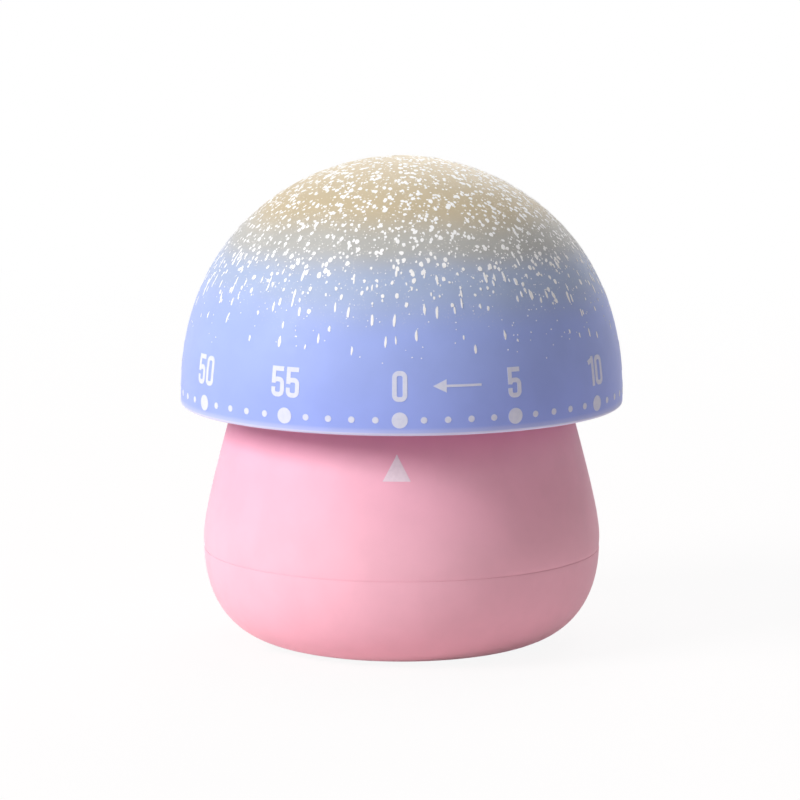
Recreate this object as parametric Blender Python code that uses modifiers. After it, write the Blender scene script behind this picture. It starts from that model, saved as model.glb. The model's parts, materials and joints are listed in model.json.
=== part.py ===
"""A wind-up kitchen timer in the shape of a mushroom.

The cap is knob and dial in one. It sits on the winding arbor of a spring-driven
movement, which hangs from the deck of the base. A bell under the movement rings
at zero. Lengths are in metres, +Z is up, and the pointer on the base faces -Y.
"""

import math

import bmesh
import bpy
from mathutils import Matrix

# Cap
CAP_RADIUS = 0.0350
CAP_HEIGHT = 0.0391
CAP_WALL = 0.0020
RIM_Z = 0.0379
RIM_ROUND = 0.0006
DOME_SIDE_POWER = 1.91
DOME_CROWN_POWER = 2.31

# Base
BELLY_RADIUS = 0.0315
BELLY_Z = 0.0165
NECK_RADIUS = 0.02425
NECK_SOFTNESS = 0.2
DECK_Z = 0.0467
DECK_THICKNESS = 0.0020
DECK_ROUND = 0.0015
BASE_WALL = 0.0020
SEAM_Z = 0.0149
SEAM_GAP = 0.0003

# Bottom cover
FOOT_RADIUS = 0.0170
FOOT_RING_WIDTH = 0.0035
FOOT_RECESS = 0.0008
UNDERSIDE_POWER = 2.4
COVER_FLOOR = 0.0024
LIP_HEIGHT = 0.0020
LIP_THICKNESS = 0.0010
LIP_ROOT = 0.0012

# Fits between pieces
SEAT_GAP = 0.00005
RUNNING_GAP = 0.00006
CLEARANCE = 0.0003
END_SHAKE = 0.0006

# Cap hub and its socket under the crown
SOCKET_RADIUS = 0.0050
SOCKET_WALL = 0.0014
SOCKET_DEPTH = 0.0050
HUB_RADIUS = 0.0046
HUB_FLANGE_RADIUS = 0.0075
HUB_FLANGE_THICKNESS = 0.0014
BORE_DEPTH = 0.0100

# Winding arbor and what sits on it
JOURNAL_RADIUS = 0.0023
ARBOR_FLAT_DEPTH = 0.0007
COLLAR_RADIUS = 0.0034
COLLAR_HEIGHT = 0.0006
SPRING_HUB_RADIUS = 0.0026
TRIP_SEAT_RADIUS = 0.0018
ARBOR_PIVOT_RADIUS = 0.0010
ARBOR_PIVOT_LENGTH = 0.0016
CLUTCH_RADIUS = 0.0042
CLUTCH_RISE = 0.0004
CLUTCH_THICKNESS = 0.0002
CLUTCH_COLLAR_RADIUS = 0.0032
CLUTCH_COLLAR_HEIGHT = 0.0010
BUSH_WALL = 0.0012
BUSH_FLANGE_RADIUS = 0.0050
BUSH_FLANGE_HEIGHT = 0.0008

# Going train
GREAT_TEETH = 64
SECOND_LEAVES = 8
SECOND_TEETH = 56
THIRD_LEAVES = 8
THIRD_TEETH = 56
ESCAPE_LEAVES = 7
GREAT_MODULE = 0.00033
SECOND_MODULE = 0.00026
THIRD_MODULE = 0.00022
GREAT_THICKNESS = 0.0009
SECOND_THICKNESS = 0.0007
THIRD_THICKNESS = 0.0006
TOOTH_ADDENDUM = 0.95
LEAF_ADDENDUM = 0.70
DEDENDUM = 1.30
WHEEL_RIM = 0.0012
SPOKE_WIDTH = 0.0010
TRAIN_SPOKES = 4
TRAIN_HUB_RADIUS = 0.0016
TRAIN_ARBOR_RADIUS = 0.00042
TRAIN_PIVOT_RADIUS = 0.0003
ARBOR_CLEARANCE = 0.0018
LEVEL_GAP = 0.0009

# Escapement
ESCAPE_TEETH = 20
ESCAPE_TIP_RADIUS = 0.0042
ESCAPE_TOOTH_HEIGHT = 0.0010
ESCAPE_TIP_WIDTH = 0.00012
ESCAPE_ROOT_WIDTH = 0.0005
ESCAPE_THICKNESS = 0.0006
ESCAPE_SPOKES = 3
PALLET_SPAN_TEETH = 4.5
PALLET_PIN_RADIUS = 0.00015
PALLET_PIN_CLEARANCE = 0.00005
ANCHOR_THICKNESS = 0.0005
ANCHOR_ARM_WIDTH = 0.0009
ANCHOR_HUB_RADIUS = 0.0011
BALANCE_RADIUS = 0.0046
BALANCE_RIM = 0.0011
BALANCE_THICKNESS = 0.0012
BALANCE_SHOULDER_RADIUS = 0.0008
BALANCE_SPOKES = 2

# Mainspring
SPRING_HEIGHT = 0.0050
SPRING_STRIP = 0.0003
SPRING_TURNS = 6
SPRING_POST_RADIUS = 0.0008
SPRING_POST_NECK_RADIUS = 0.0004
SPRING_POST_CIRCLE = 0.0112
SPRING_POST_ANGLE = math.radians(270)

# Trip and stop
TRIP_THICKNESS = 0.0008
TRIP_DISC_RADIUS = 0.0045
TRIP_FINGER_REACH = 0.0090
TRIP_FINGER_WIDTH = 0.0012
DIAL_TRAVEL = math.radians(342)
STOP_CIRCLE = 0.0080
STOP_RADIUS = 0.00055
STOP_NECK_RADIUS = 0.000275

# Movement frame
PLATE_THICKNESS = 0.0012
PLATE_MARGIN = 0.0004
BOSS_DROP = 0.0035
MOVEMENT_BOSS_RADIUS = 0.0028
PILLAR_RADIUS = 0.0018
PILLAR_NECK_RADIUS = 0.0013
PILLAR_RIVET_RADIUS = 0.0014
PILLAR_RIVET_HEIGHT = 0.0004
PILLAR_RIVET_NECK_RADIUS = 0.0009
PILLAR_ANGLES = (math.radians(324), math.radians(118), math.radians(221))

# Screws
SCREW_RADIUS = 0.0007
SCREW_HEAD_RADIUS = 0.0019
SCREW_HEAD_HEIGHT = 0.0012
SCREW_SLOT_WIDTH = 0.0005
SCREW_SLOT_DEPTH = 0.0005
SCREW_GRIP = 0.0050
COVER_SCREW_CIRCLE = 0.0222
COVER_BOSS_RADIUS = 0.0030
COVER_BOSS_HEIGHT = 0.0070
COVER_SCREW_SEAT = 0.0050
COVER_SCREW_ANGLES = (math.radians(90), math.radians(210), math.radians(330))
GUSSET_THICKNESS = 0.0014

# Bell and its post
BELL_RADIUS = 0.0183
BELL_DEPTH = 0.0090
BELL_SKIRT = 0.0030
BELL_WALL = 0.0008
BELL_FLAT_RADIUS = 0.0045
BELL_DROP = 0.0032
POST_RADIUS = 0.0020
POST_FLANGE_RADIUS = 0.0030
POST_FLANGE_HEIGHT = 0.0010

# Striking work
HAMMER_ANGLE = math.radians(180)
HAMMER_CIRCLE = 0.0124
HAMMER_ARBOR_RADIUS = 0.0008
HAMMER_HUB_RADIUS = 0.0016
HAMMER_ARM_WIDTH = 0.0015
HAMMER_ARM_THICKNESS = 0.0008
HAMMER_ARM_DROP = 0.0012
HAMMER_HEAD_RADIUS = 0.0016
HAMMER_HEAD_ROUND = 0.0004
HAMMER_NECK_RADIUS = 0.0004
HAMMER_BELL_GAP = 0.0006
TRIP_CLEARANCE = 0.0003
COIL_WIRE_RADIUS = 0.00015
COIL_RADIUS = 0.00125
COIL_TURNS = 3
COIL_PITCH = 0.0008

# Tooth forms in modules: height above the pitch circle, half width there
TOOTH_FORM = ((-DEDENDUM, 0.95), (TOOTH_ADDENDUM, 0.32))
LEAF_FORM = ((-DEDENDUM, 0.52), (0.0, 0.52), (LEAF_ADDENDUM, 0.24))

# Facets of round shapes
SHELL_STEPS = 32
BELL_STEPS = 18
PLATE_STEPS = 26
MEDIUM_STEPS = 16
SMALL_STEPS = 8
PIN_STEPS = 6
EYE_STEPS = 12
EYE_GAP_STEPS = 2
COIL_STEPS = 8
SPIRAL_STEPS = 12
DOME_POINTS = 9
DOME_INNER_POINTS = 4
FLANK_POINTS = 6
FLANK_INNER_POINTS = 3
UNDERSIDE_POINTS = 6
UNDERSIDE_INNER_POINTS = 3
BELL_POINTS = 4
ROUND_POINTS = 2
TIP_POINTS = 4
WINDOW_OUTER_POINTS = 3
WINDOW_INNER_POINTS = 2
HUB_STEP = math.radians(30)
WIRE_ROUNDING = 1
SHARP_EDGE = math.radians(50)
MERGE = 0.000001

# Levels of the base and the cap
CROWN_Z = RIM_Z + CAP_HEIGHT
DECK_UNDERSIDE = DECK_Z - DECK_THICKNESS
BUSH_TOP = DECK_Z + BUSH_FLANGE_HEIGHT + SEAT_GAP
HUB_BOTTOM = BUSH_TOP + CLEARANCE
ARBOR_TOP = HUB_BOTTOM + BORE_DEPTH - CLEARANCE

# Levels of the movement, up from the bottom plate's top face
TRIP_LEVEL = END_SHAKE
SPRING_LEVEL = TRIP_LEVEL + TRIP_THICKNESS + LEVEL_GAP
COLLAR_LEVEL = SPRING_LEVEL + SPRING_HEIGHT + CLEARANCE
GREAT_LEVEL = COLLAR_LEVEL + COLLAR_HEIGHT + SEAT_GAP
SECOND_LEVEL = GREAT_LEVEL + GREAT_THICKNESS + LEVEL_GAP
THIRD_LEVEL = SECOND_LEVEL + SECOND_THICKNESS + LEVEL_GAP
ESCAPE_LEVEL = THIRD_LEVEL + THIRD_THICKNESS + LEVEL_GAP
ANCHOR_LEVEL = ESCAPE_LEVEL + ESCAPE_THICKNESS + LEVEL_GAP
PLATE_GAP = ANCHOR_LEVEL + ANCHOR_THICKNESS + END_SHAKE
TOP_PLATE_Z = DECK_UNDERSIDE - BOSS_DROP - SEAT_GAP - PLATE_THICKNESS
FLOOR_Z = TOP_PLATE_Z - PLATE_GAP
BOTTOM_PLATE_Z = FLOOR_Z - PLATE_THICKNESS
BELL_RIM_Z = BOTTOM_PLATE_Z - BELL_DROP
BELL_SEAT_Z = BELL_RIM_Z - BELL_DEPTH + BELL_WALL

# Pitch circles and the train's centres
GREAT_RADIUS = GREAT_TEETH * GREAT_MODULE / 2
GREAT_TIP_RADIUS = GREAT_RADIUS + TOOTH_ADDENDUM * GREAT_MODULE
SECOND_TIP_RADIUS = (SECOND_TEETH / 2 + TOOTH_ADDENDUM) * SECOND_MODULE
SECOND_CENTRE = (GREAT_TEETH + SECOND_LEAVES) * GREAT_MODULE / 2
SECOND_TO_THIRD = (SECOND_TEETH + THIRD_LEAVES) * SECOND_MODULE / 2
THIRD_TO_ESCAPE = (THIRD_TEETH + ESCAPE_LEAVES) * THIRD_MODULE / 2
OUTER_CIRCLE = GREAT_TIP_RADIUS + ARBOR_CLEARANCE
PALLET_HALF_SPAN = math.pi * PALLET_SPAN_TEETH / ESCAPE_TEETH
PALLET_CIRCLE = ESCAPE_TIP_RADIUS + PALLET_PIN_RADIUS + PALLET_PIN_CLEARANCE
ESCAPE_TO_BALANCE = PALLET_CIRCLE / math.cos(PALLET_HALF_SPAN)
PALLET_ARM = PALLET_CIRCLE * math.tan(PALLET_HALF_SPAN)
PLATE_RADIUS = SECOND_CENTRE + SECOND_TIP_RADIUS + PLATE_MARGIN
PILLAR_CIRCLE = PLATE_RADIUS - PILLAR_RADIUS - PLATE_MARGIN
HEAD_CIRCLE = BELL_RADIUS - BELL_WALL - HAMMER_BELL_GAP - HAMMER_HEAD_RADIUS
HAMMER_ARM_LENGTH = math.sqrt(HEAD_CIRCLE ** 2 - HAMMER_CIRCLE ** 2)
PALLET_PIN_BOTTOM = ESCAPE_LEVEL - CLEARANCE


def polar(radius, angle):
    return radius * math.cos(angle), radius * math.sin(angle)


def angle_between(near, far, distance):
    """Angle at the main axis between two arbors, from their radii and distance."""
    return math.acos((near ** 2 + far ** 2 - distance ** 2) / (2 * near * far))


THIRD_ANGLE = angle_between(SECOND_CENTRE, OUTER_CIRCLE, SECOND_TO_THIRD)
ESCAPE_ANGLE = THIRD_ANGLE + angle_between(OUTER_CIRCLE, OUTER_CIRCLE, THIRD_TO_ESCAPE)
BALANCE_ANGLE = ESCAPE_ANGLE + angle_between(OUTER_CIRCLE, OUTER_CIRCLE, ESCAPE_TO_BALANCE)
MAIN_AXIS = (0.0, 0.0)
SECOND_AXIS = polar(SECOND_CENTRE, 0.0)
THIRD_AXIS = polar(OUTER_CIRCLE, THIRD_ANGLE)
ESCAPE_AXIS = polar(OUTER_CIRCLE, ESCAPE_ANGLE)
BALANCE_AXIS = polar(OUTER_CIRCLE, BALANCE_ANGLE)
HAMMER_AXIS = polar(HAMMER_CIRCLE, HAMMER_ANGLE)
PILLAR_PLACES = [polar(PILLAR_CIRCLE, angle) for angle in PILLAR_ANGLES]
COVER_SCREW_PLACES = [polar(COVER_SCREW_CIRCLE, angle) for angle in COVER_SCREW_ANGLES]


# Scene, collections and finishes
for leftover in list(bpy.data.objects):
    bpy.data.objects.remove(leftover, do_unlink=True)

PARTS = bpy.data.collections.new("mushroom_timer")
CUTTERS = bpy.data.collections.new("cutters")
for group in (PARTS, CUTTERS):
    bpy.context.scene.collection.children.link(group)


def finish(name, colour, roughness, metallic):
    material = bpy.data.materials.new(name)
    material.use_nodes = True
    shader = material.node_tree.nodes["Principled BSDF"]
    shader.inputs["Base Color"].default_value = (*colour, 1.0)
    shader.inputs["Roughness"].default_value = roughness
    shader.inputs["Metallic"].default_value = metallic
    return material


CAP_PLASTIC = finish("cap_plastic", (0.36, 0.45, 0.80), 0.55, 0.0)
BASE_PLASTIC = finish("base_plastic", (0.85, 0.42, 0.50), 0.55, 0.0)
HUB_PLASTIC = finish("hub_plastic", (0.80, 0.80, 0.78), 0.50, 0.0)
BRASS = finish("brass", (0.72, 0.52, 0.22), 0.35, 1.0)
STEEL = finish("steel", (0.60, 0.60, 0.62), 0.30, 1.0)
SPRING_STEEL = finish("spring_steel", (0.28, 0.30, 0.36), 0.30, 1.0)
BELL_METAL = finish("bell_metal", (0.70, 0.70, 0.68), 0.25, 1.0)


# Modelling helpers
def empty(name, place):
    axis = bpy.data.objects.new(name, None)
    axis.location = (*place, 0.0)
    axis.empty_display_size = GREAT_RADIUS
    PARTS.objects.link(axis)
    return axis


def add(name, data, material, axis=None):
    """Link a new part, with its material, under the empty on its joint axis."""
    data.materials.append(material)
    thing = bpy.data.objects.new(name, data)
    thing.parent = axis
    PARTS.objects.link(thing)
    return thing


def turned(name, profile, steps, material, axis=None, ring=False):
    """Turn a profile of (radius, height), given down its outer side, about Z."""
    count = len(profile)
    edges = [(index, index + 1) for index in range(count - 1)]
    if ring:
        edges.append((count - 1, 0))
    mesh = bpy.data.meshes.new(name)
    mesh.from_pydata([(radius, 0.0, height) for radius, height in profile], edges, [])
    thing = add(name, mesh, material, axis)
    screw = thing.modifiers.new("Turn", "SCREW")
    screw.angle = 2 * math.pi
    screw.steps = steps
    screw.render_steps = steps
    screw.use_merge_vertices = True
    screw.merge_threshold = MERGE
    screw.use_smooth_shade = True
    return thing


def flat(name, outlines, bottom, thickness, material, axis=None):
    """Extrude an outline, with the holes that follow it in the list."""
    curve = bpy.data.curves.new(name, "CURVE")
    curve.dimensions = "2D"
    curve.fill_mode = "BOTH"
    curve.extrude = thickness / 2
    for outline in outlines:
        spline = curve.splines.new("POLY")
        spline.points.add(len(outline) - 1)
        for point, (across, along) in zip(spline.points, outline):
            point.co = (across, along, 0.0, 1.0)
        spline.use_cyclic_u = True
    thing = add(name, curve, material, axis)
    thing.location.z = bottom + thickness / 2
    return thing


def as_mesh(thing):
    """Replace a curve by its welded mesh, under the same name and parent."""
    bpy.context.view_layer.update()
    evaluated = thing.evaluated_get(bpy.context.evaluated_depsgraph_get())
    mesh = bpy.data.meshes.new_from_object(evaluated)
    shape = bmesh.new()
    shape.from_mesh(mesh)
    bmesh.ops.remove_doubles(shape, verts=shape.verts, dist=MERGE)
    shape.to_mesh(mesh)
    shape.free()
    name = thing.name
    solid = bpy.data.objects.new(name, mesh)
    PARTS.objects.link(solid)
    solid.parent = thing.parent
    solid.matrix_world = thing.matrix_world
    bpy.data.objects.remove(thing, do_unlink=True)
    solid.name = name
    return solid


def rod(name, place, bottom, top, radius, material, axis=None, steps=SMALL_STEPS):
    shape = bmesh.new()
    bmesh.ops.create_cone(shape, cap_ends=True, segments=steps, radius1=radius,
                          radius2=radius, depth=top - bottom)
    mesh = bpy.data.meshes.new(name)
    shape.to_mesh(mesh)
    shape.free()
    mesh.shade_smooth()
    mesh.set_sharp_from_angle(angle=SHARP_EDGE)
    thing = add(name, mesh, material, axis)
    thing.location = (*place, (bottom + top) / 2)
    return thing


def block(name, size, centre, turn, material, axis=None):
    shape = bmesh.new()
    bmesh.ops.create_cube(shape, size=1.0, matrix=Matrix.Diagonal((*size, 1.0)))
    mesh = bpy.data.meshes.new(name)
    shape.to_mesh(mesh)
    shape.free()
    thing = add(name, mesh, material, axis)
    thing.location = centre
    thing.rotation_euler.z = turn
    return thing


def combine(target, tool, operation):
    """Join or cut with a tool, which then only guides the target's shape."""
    PARTS.objects.unlink(tool)
    CUTTERS.objects.link(tool)
    tool.hide_render = True
    tool.display_type = "WIRE"
    boolean = target.modifiers.new(tool.name, "BOOLEAN")
    boolean.operation = operation
    boolean.solver = "EXACT"
    boolean.object = tool


def cut(target, tool):
    combine(target, tool, "DIFFERENCE")


def fuse(target, tool):
    combine(target, tool, "UNION")


# Outlines
def between(first, last, points):
    """Evenly spaced values, both ends included."""
    return [first + (last - first) * step / points for step in range(points + 1)]


def circle(centre, radius, steps):
    turns = [2 * math.pi * step / steps for step in range(steps)]
    return [(centre[0] + radius * math.cos(turn), centre[1] + radius * math.sin(turn))
            for turn in turns]


def hole(centre, radius, steps):
    """A round hole whose flats, not its corners, lie at the radius."""
    return circle(centre, radius / math.cos(math.pi / steps), steps)


def arc(centre, radius, start, end, points):
    """Points on an arc, both ends included."""
    turns = between(start, end, points)
    return [(centre[0] + radius * math.cos(turn), centre[1] + radius * math.sin(turn))
            for turn in turns]


def toothed(teeth, module, form):
    """A ring of equal teeth, each drawn up one flank of its form and down the other."""
    pitch_radius = teeth * module / 2
    outline = []
    for tooth in range(teeth):
        middle = 2 * math.pi * tooth / teeth
        for rise, half in form:
            outline.append(polar(pitch_radius + rise * module, middle - 2 * half / teeth))
        for rise, half in reversed(form):
            outline.append(polar(pitch_radius + rise * module, middle + 2 * half / teeth))
    return outline


def windows(inner, outer, count):
    """The openings between the spokes of a wheel."""
    openings = []
    for index in range(count):
        start = 2 * math.pi * index / count
        end = start + 2 * math.pi / count
        outer_inset = math.asin(SPOKE_WIDTH / 2 / outer)
        inner_inset = math.asin(SPOKE_WIDTH / 2 / inner)
        openings.append(arc(MAIN_AXIS, outer, start + outer_inset, end - outer_inset,
                            WINDOW_OUTER_POINTS)
                        + arc(MAIN_AXIS, inner, end - inner_inset, start + inner_inset,
                              WINDOW_INNER_POINTS))
    return openings


def lever(hub_radius, arms, half_width, round_tip):
    """A hub with straight arms, each given by its direction and length."""
    inset = math.asin(half_width / hub_radius)
    outline = []
    for index, (direction, length) in enumerate(arms):
        if round_tip:
            tip = arc((length, 0.0), half_width, -math.pi / 2, math.pi / 2, TIP_POINTS)
        else:
            tip = [(length, -half_width), (length, half_width)]
        cosine, sine = math.cos(direction), math.sin(direction)
        outline += [(x * cosine - y * sine, x * sine + y * cosine) for x, y in tip]
        following = arms[(index + 1) % len(arms)][0]
        start = direction + inset
        sweep = (following - inset - start) % (2 * math.pi)
        points = math.ceil(sweep / HUB_STEP)
        outline += arc(MAIN_AXIS, hub_radius, start, start + sweep, points)
    return outline


# Profiles of the shells
def superellipse(side_power, end_power, points, last=math.pi / 2):
    """Shares (across, up) of a rounded quarter, from its side towards its end."""
    shares = []
    for angle in between(0.0, last, points):
        shares.append((max(math.cos(angle), 0.0) ** (2 / side_power),
                       math.sin(angle) ** (2 / end_power)))
    return shares


def base_radius(height):
    """Outer radius of the base from the belly up to the deck."""
    share = (height - BELLY_Z) / (DECK_Z - BELLY_Z)
    drawn_in = share ** 2 * (1 + NECK_SOFTNESS) / (abs(share) + NECK_SOFTNESS)
    return BELLY_RADIUS - (BELLY_RADIUS - NECK_RADIUS) * drawn_in


def underside(foot, belly, floor, points):
    """The rounded bottom, from the seam down to its flat foot."""
    rise = 1 - (SEAM_Z - floor) / (BELLY_Z - floor)
    first = math.asin(rise ** (UNDERSIDE_POWER / 2))
    profile = []
    for angle in between(first, math.pi / 2, points):
        across = max(math.cos(angle), 0.0) ** (2 / UNDERSIDE_POWER)
        down = math.sin(angle) ** (2 / UNDERSIDE_POWER)
        profile.append((foot + (belly - foot) * across, BELLY_Z - (BELLY_Z - floor) * down))
    return profile


# Cap
def make_cap_shell(axis):
    widest = RIM_Z + RIM_ROUND
    inner_radius = CAP_RADIUS - CAP_WALL
    ring_radius = SOCKET_RADIUS + SOCKET_WALL
    outer = [(CAP_RADIUS * across, widest + (CROWN_Z - widest) * up)
             for across, up in superellipse(DOME_SIDE_POWER, DOME_CROWN_POWER, DOME_POINTS)]
    outer[-1] = (0.0, CROWN_Z)
    last = math.acos((ring_radius / inner_radius) ** (DOME_SIDE_POWER / 2))
    inner = [(inner_radius * across, widest + (CROWN_Z - CAP_WALL - widest) * up)
             for across, up in superellipse(DOME_SIDE_POWER, DOME_CROWN_POWER,
                                            DOME_INNER_POINTS, last)]
    outer_round = arc((CAP_RADIUS - RIM_ROUND, widest), RIM_ROUND, 0.0, -math.pi / 2,
                      ROUND_POINTS)
    inner_round = arc((inner_radius + RIM_ROUND, widest), RIM_ROUND, -math.pi / 2,
                      -math.pi, ROUND_POINTS)
    ceiling = inner[-1][1]
    socket = [(ring_radius, ceiling - SOCKET_DEPTH), (SOCKET_RADIUS, ceiling - SOCKET_DEPTH),
              (SOCKET_RADIUS, ceiling), (0.0, ceiling)]
    profile = outer[::-1] + outer_round[1:] + inner_round[:-1] + inner + socket
    turned("cap_shell", profile, SHELL_STEPS, CAP_PLASTIC, axis)
    return ceiling


def arbor_section(radius, flat_depth):
    """A round section with one flat, square to +X."""
    half = math.acos((radius - flat_depth) / radius)
    return arc(MAIN_AXIS, radius, half, 2 * math.pi - half, MEDIUM_STEPS)


def make_cap_hub(axis, ceiling):
    plug = SOCKET_RADIUS - SEAT_GAP
    flange_top = ceiling - SOCKET_DEPTH - CLEARANCE
    top = ceiling - CLEARANCE
    flange_bottom = flange_top - HUB_FLANGE_THICKNESS
    profile = [(0.0, top), (plug, top), (plug, flange_top), (HUB_FLANGE_RADIUS, flange_top),
               (HUB_FLANGE_RADIUS, flange_bottom), (HUB_RADIUS, flange_bottom),
               (HUB_RADIUS, HUB_BOTTOM), (0.0, HUB_BOTTOM)]
    hub = turned("cap_hub", profile, MEDIUM_STEPS, HUB_PLASTIC, axis)
    section = arbor_section(JOURNAL_RADIUS + RUNNING_GAP, ARBOR_FLAT_DEPTH)
    bore = flat("hub_bore", [section], HUB_BOTTOM - CLEARANCE, BORE_DEPTH + CLEARANCE,
                HUB_PLASTIC, axis)
    cut(hub, as_mesh(bore))


# Winding arbor and what turns with it
def make_main_arbor(axis):
    collar_bottom = FLOOR_Z + COLLAR_LEVEL
    collar_top = collar_bottom + COLLAR_HEIGHT
    hub_bottom = FLOOR_Z + TRIP_LEVEL + TRIP_THICKNESS + SEAT_GAP
    seat_bottom = FLOOR_Z + CLEARANCE
    pivot_bottom = seat_bottom - ARBOR_PIVOT_LENGTH
    profile = [(0.0, ARBOR_TOP), (JOURNAL_RADIUS, ARBOR_TOP), (JOURNAL_RADIUS, collar_top),
               (COLLAR_RADIUS, collar_top), (COLLAR_RADIUS, collar_bottom),
               (SPRING_HUB_RADIUS, collar_bottom), (SPRING_HUB_RADIUS, hub_bottom),
               (TRIP_SEAT_RADIUS, hub_bottom), (TRIP_SEAT_RADIUS, seat_bottom),
               (ARBOR_PIVOT_RADIUS, seat_bottom), (ARBOR_PIVOT_RADIUS, pivot_bottom),
               (0.0, pivot_bottom)]
    arbor = turned("main_arbor", profile, MEDIUM_STEPS, STEEL, axis)
    flat_bottom = BUSH_TOP
    flat_height = ARBOR_TOP - flat_bottom + CLEARANCE
    flat_length = 2 * (JOURNAL_RADIUS + CLEARANCE)
    cutter = block("arbor_flat", (2 * ARBOR_FLAT_DEPTH, flat_length, flat_height),
                   (JOURNAL_RADIUS, 0.0, flat_bottom + flat_height / 2), 0.0, STEEL, axis)
    cut(arbor, cutter)


def make_wheel(name, axis, teeth, module, bore, hub, level, thickness):
    root = (teeth / 2 - DEDENDUM) * module
    outlines = [toothed(teeth, module, TOOTH_FORM),
                hole(MAIN_AXIS, bore, SMALL_STEPS)]
    outlines += windows(hub, root - WHEEL_RIM, TRAIN_SPOKES)
    flat(name, outlines, FLOOR_Z + level, thickness, BRASS, axis)


def make_clutch(axis):
    bottom = FLOOR_Z + GREAT_LEVEL + GREAT_THICKNESS + SEAT_GAP
    bore = JOURNAL_RADIUS + RUNNING_GAP
    raised = bottom + CLUTCH_RISE
    profile = [(bore, raised + CLUTCH_THICKNESS), (CLUTCH_RADIUS, bottom + CLUTCH_THICKNESS),
               (CLUTCH_RADIUS, bottom), (bore, raised)]
    turned("clutch_spring", profile, MEDIUM_STEPS, SPRING_STEEL, axis, ring=True)
    low = raised + CLUTCH_THICKNESS + SEAT_GAP
    high = low + CLUTCH_COLLAR_HEIGHT
    profile = [(bore, high), (CLUTCH_COLLAR_RADIUS, high), (CLUTCH_COLLAR_RADIUS, low),
               (bore, low)]
    turned("clutch_collar", profile, MEDIUM_STEPS, BRASS, axis, ring=True)


def stop_half_angle():
    """Half of the turn that the stop takes from a full one."""
    return math.pi - DIAL_TRAVEL / 2


def make_trip_disc(axis):
    finger = lever(TRIP_DISC_RADIUS, [(HAMMER_ANGLE + stop_half_angle(), TRIP_FINGER_REACH)],
                   TRIP_FINGER_WIDTH / 2, round_tip=False)
    bore = hole(MAIN_AXIS, TRIP_SEAT_RADIUS + SEAT_GAP, MEDIUM_STEPS)
    flat("trip_disc", [finger, bore], FLOOR_Z + TRIP_LEVEL, TRIP_THICKNESS, STEEL, axis)


# Going train
def mesh_turn(driver_teeth, leaves, towards):
    """Turn of a pinion whose leaves stand between the teeth of its driver, at no turn."""
    share = towards / (2 * math.pi / driver_teeth)
    return towards + math.pi - (0.5 - share) * 2 * math.pi / leaves


def make_pinion_arbor(name, axis, leaves, module, bottom, top, turn):
    """An arbor with its pinion cut in one piece and a pivot at each end."""
    shoulder_low = FLOOR_Z + CLEARANCE
    shoulder_high = TOP_PLATE_Z - CLEARANCE
    profile = [(0.0, TOP_PLATE_Z + PLATE_THICKNESS),
               (TRAIN_PIVOT_RADIUS, TOP_PLATE_Z + PLATE_THICKNESS),
               (TRAIN_PIVOT_RADIUS, shoulder_high), (TRAIN_ARBOR_RADIUS, shoulder_high),
               (TRAIN_ARBOR_RADIUS, shoulder_low), (TRAIN_PIVOT_RADIUS, shoulder_low),
               (TRAIN_PIVOT_RADIUS, BOTTOM_PLATE_Z), (0.0, BOTTOM_PLATE_Z)]
    arbor = turned(name, profile, SMALL_STEPS, STEEL, axis)
    outline = toothed(leaves, module, LEAF_FORM)
    pinion = flat(name + "_leaves", [outline], FLOOR_Z + bottom, top - bottom, STEEL, axis)
    pinion.rotation_euler.z = turn
    fuse(arbor, as_mesh(pinion))


def direction(start, end):
    return math.atan2(end[1] - start[1], end[0] - start[0])


def make_train(main_axis):
    second = empty("second_axis", SECOND_AXIS)
    third = empty("third_axis", THIRD_AXIS)
    escape = empty("escape_axis", ESCAPE_AXIS)
    bore = TRAIN_ARBOR_RADIUS + SEAT_GAP
    make_wheel("great_wheel", main_axis, GREAT_TEETH, GREAT_MODULE,
               JOURNAL_RADIUS + RUNNING_GAP, CLUTCH_RADIUS + CLEARANCE, GREAT_LEVEL,
               GREAT_THICKNESS)
    make_wheel("second_wheel", second, SECOND_TEETH, SECOND_MODULE, bore, TRAIN_HUB_RADIUS,
               SECOND_LEVEL, SECOND_THICKNESS)
    make_wheel("third_wheel", third, THIRD_TEETH, THIRD_MODULE, bore, TRAIN_HUB_RADIUS,
               THIRD_LEVEL, THIRD_THICKNESS)
    turn = mesh_turn(GREAT_TEETH, SECOND_LEAVES, direction(MAIN_AXIS, SECOND_AXIS))
    make_pinion_arbor("second_arbor", second, SECOND_LEAVES, GREAT_MODULE,
                      GREAT_LEVEL - CLEARANCE, SECOND_LEVEL - SEAT_GAP, turn)
    turn = mesh_turn(SECOND_TEETH, THIRD_LEAVES, direction(SECOND_AXIS, THIRD_AXIS))
    make_pinion_arbor("third_arbor", third, THIRD_LEAVES, SECOND_MODULE,
                      SECOND_LEVEL - CLEARANCE, THIRD_LEVEL - SEAT_GAP, turn)
    turn = mesh_turn(THIRD_TEETH, ESCAPE_LEAVES, direction(THIRD_AXIS, ESCAPE_AXIS))
    make_pinion_arbor("escape_arbor", escape, ESCAPE_LEAVES, THIRD_MODULE,
                      THIRD_LEVEL - CLEARANCE, ESCAPE_LEVEL - SEAT_GAP, turn)
    make_escape_wheel(escape)


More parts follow.
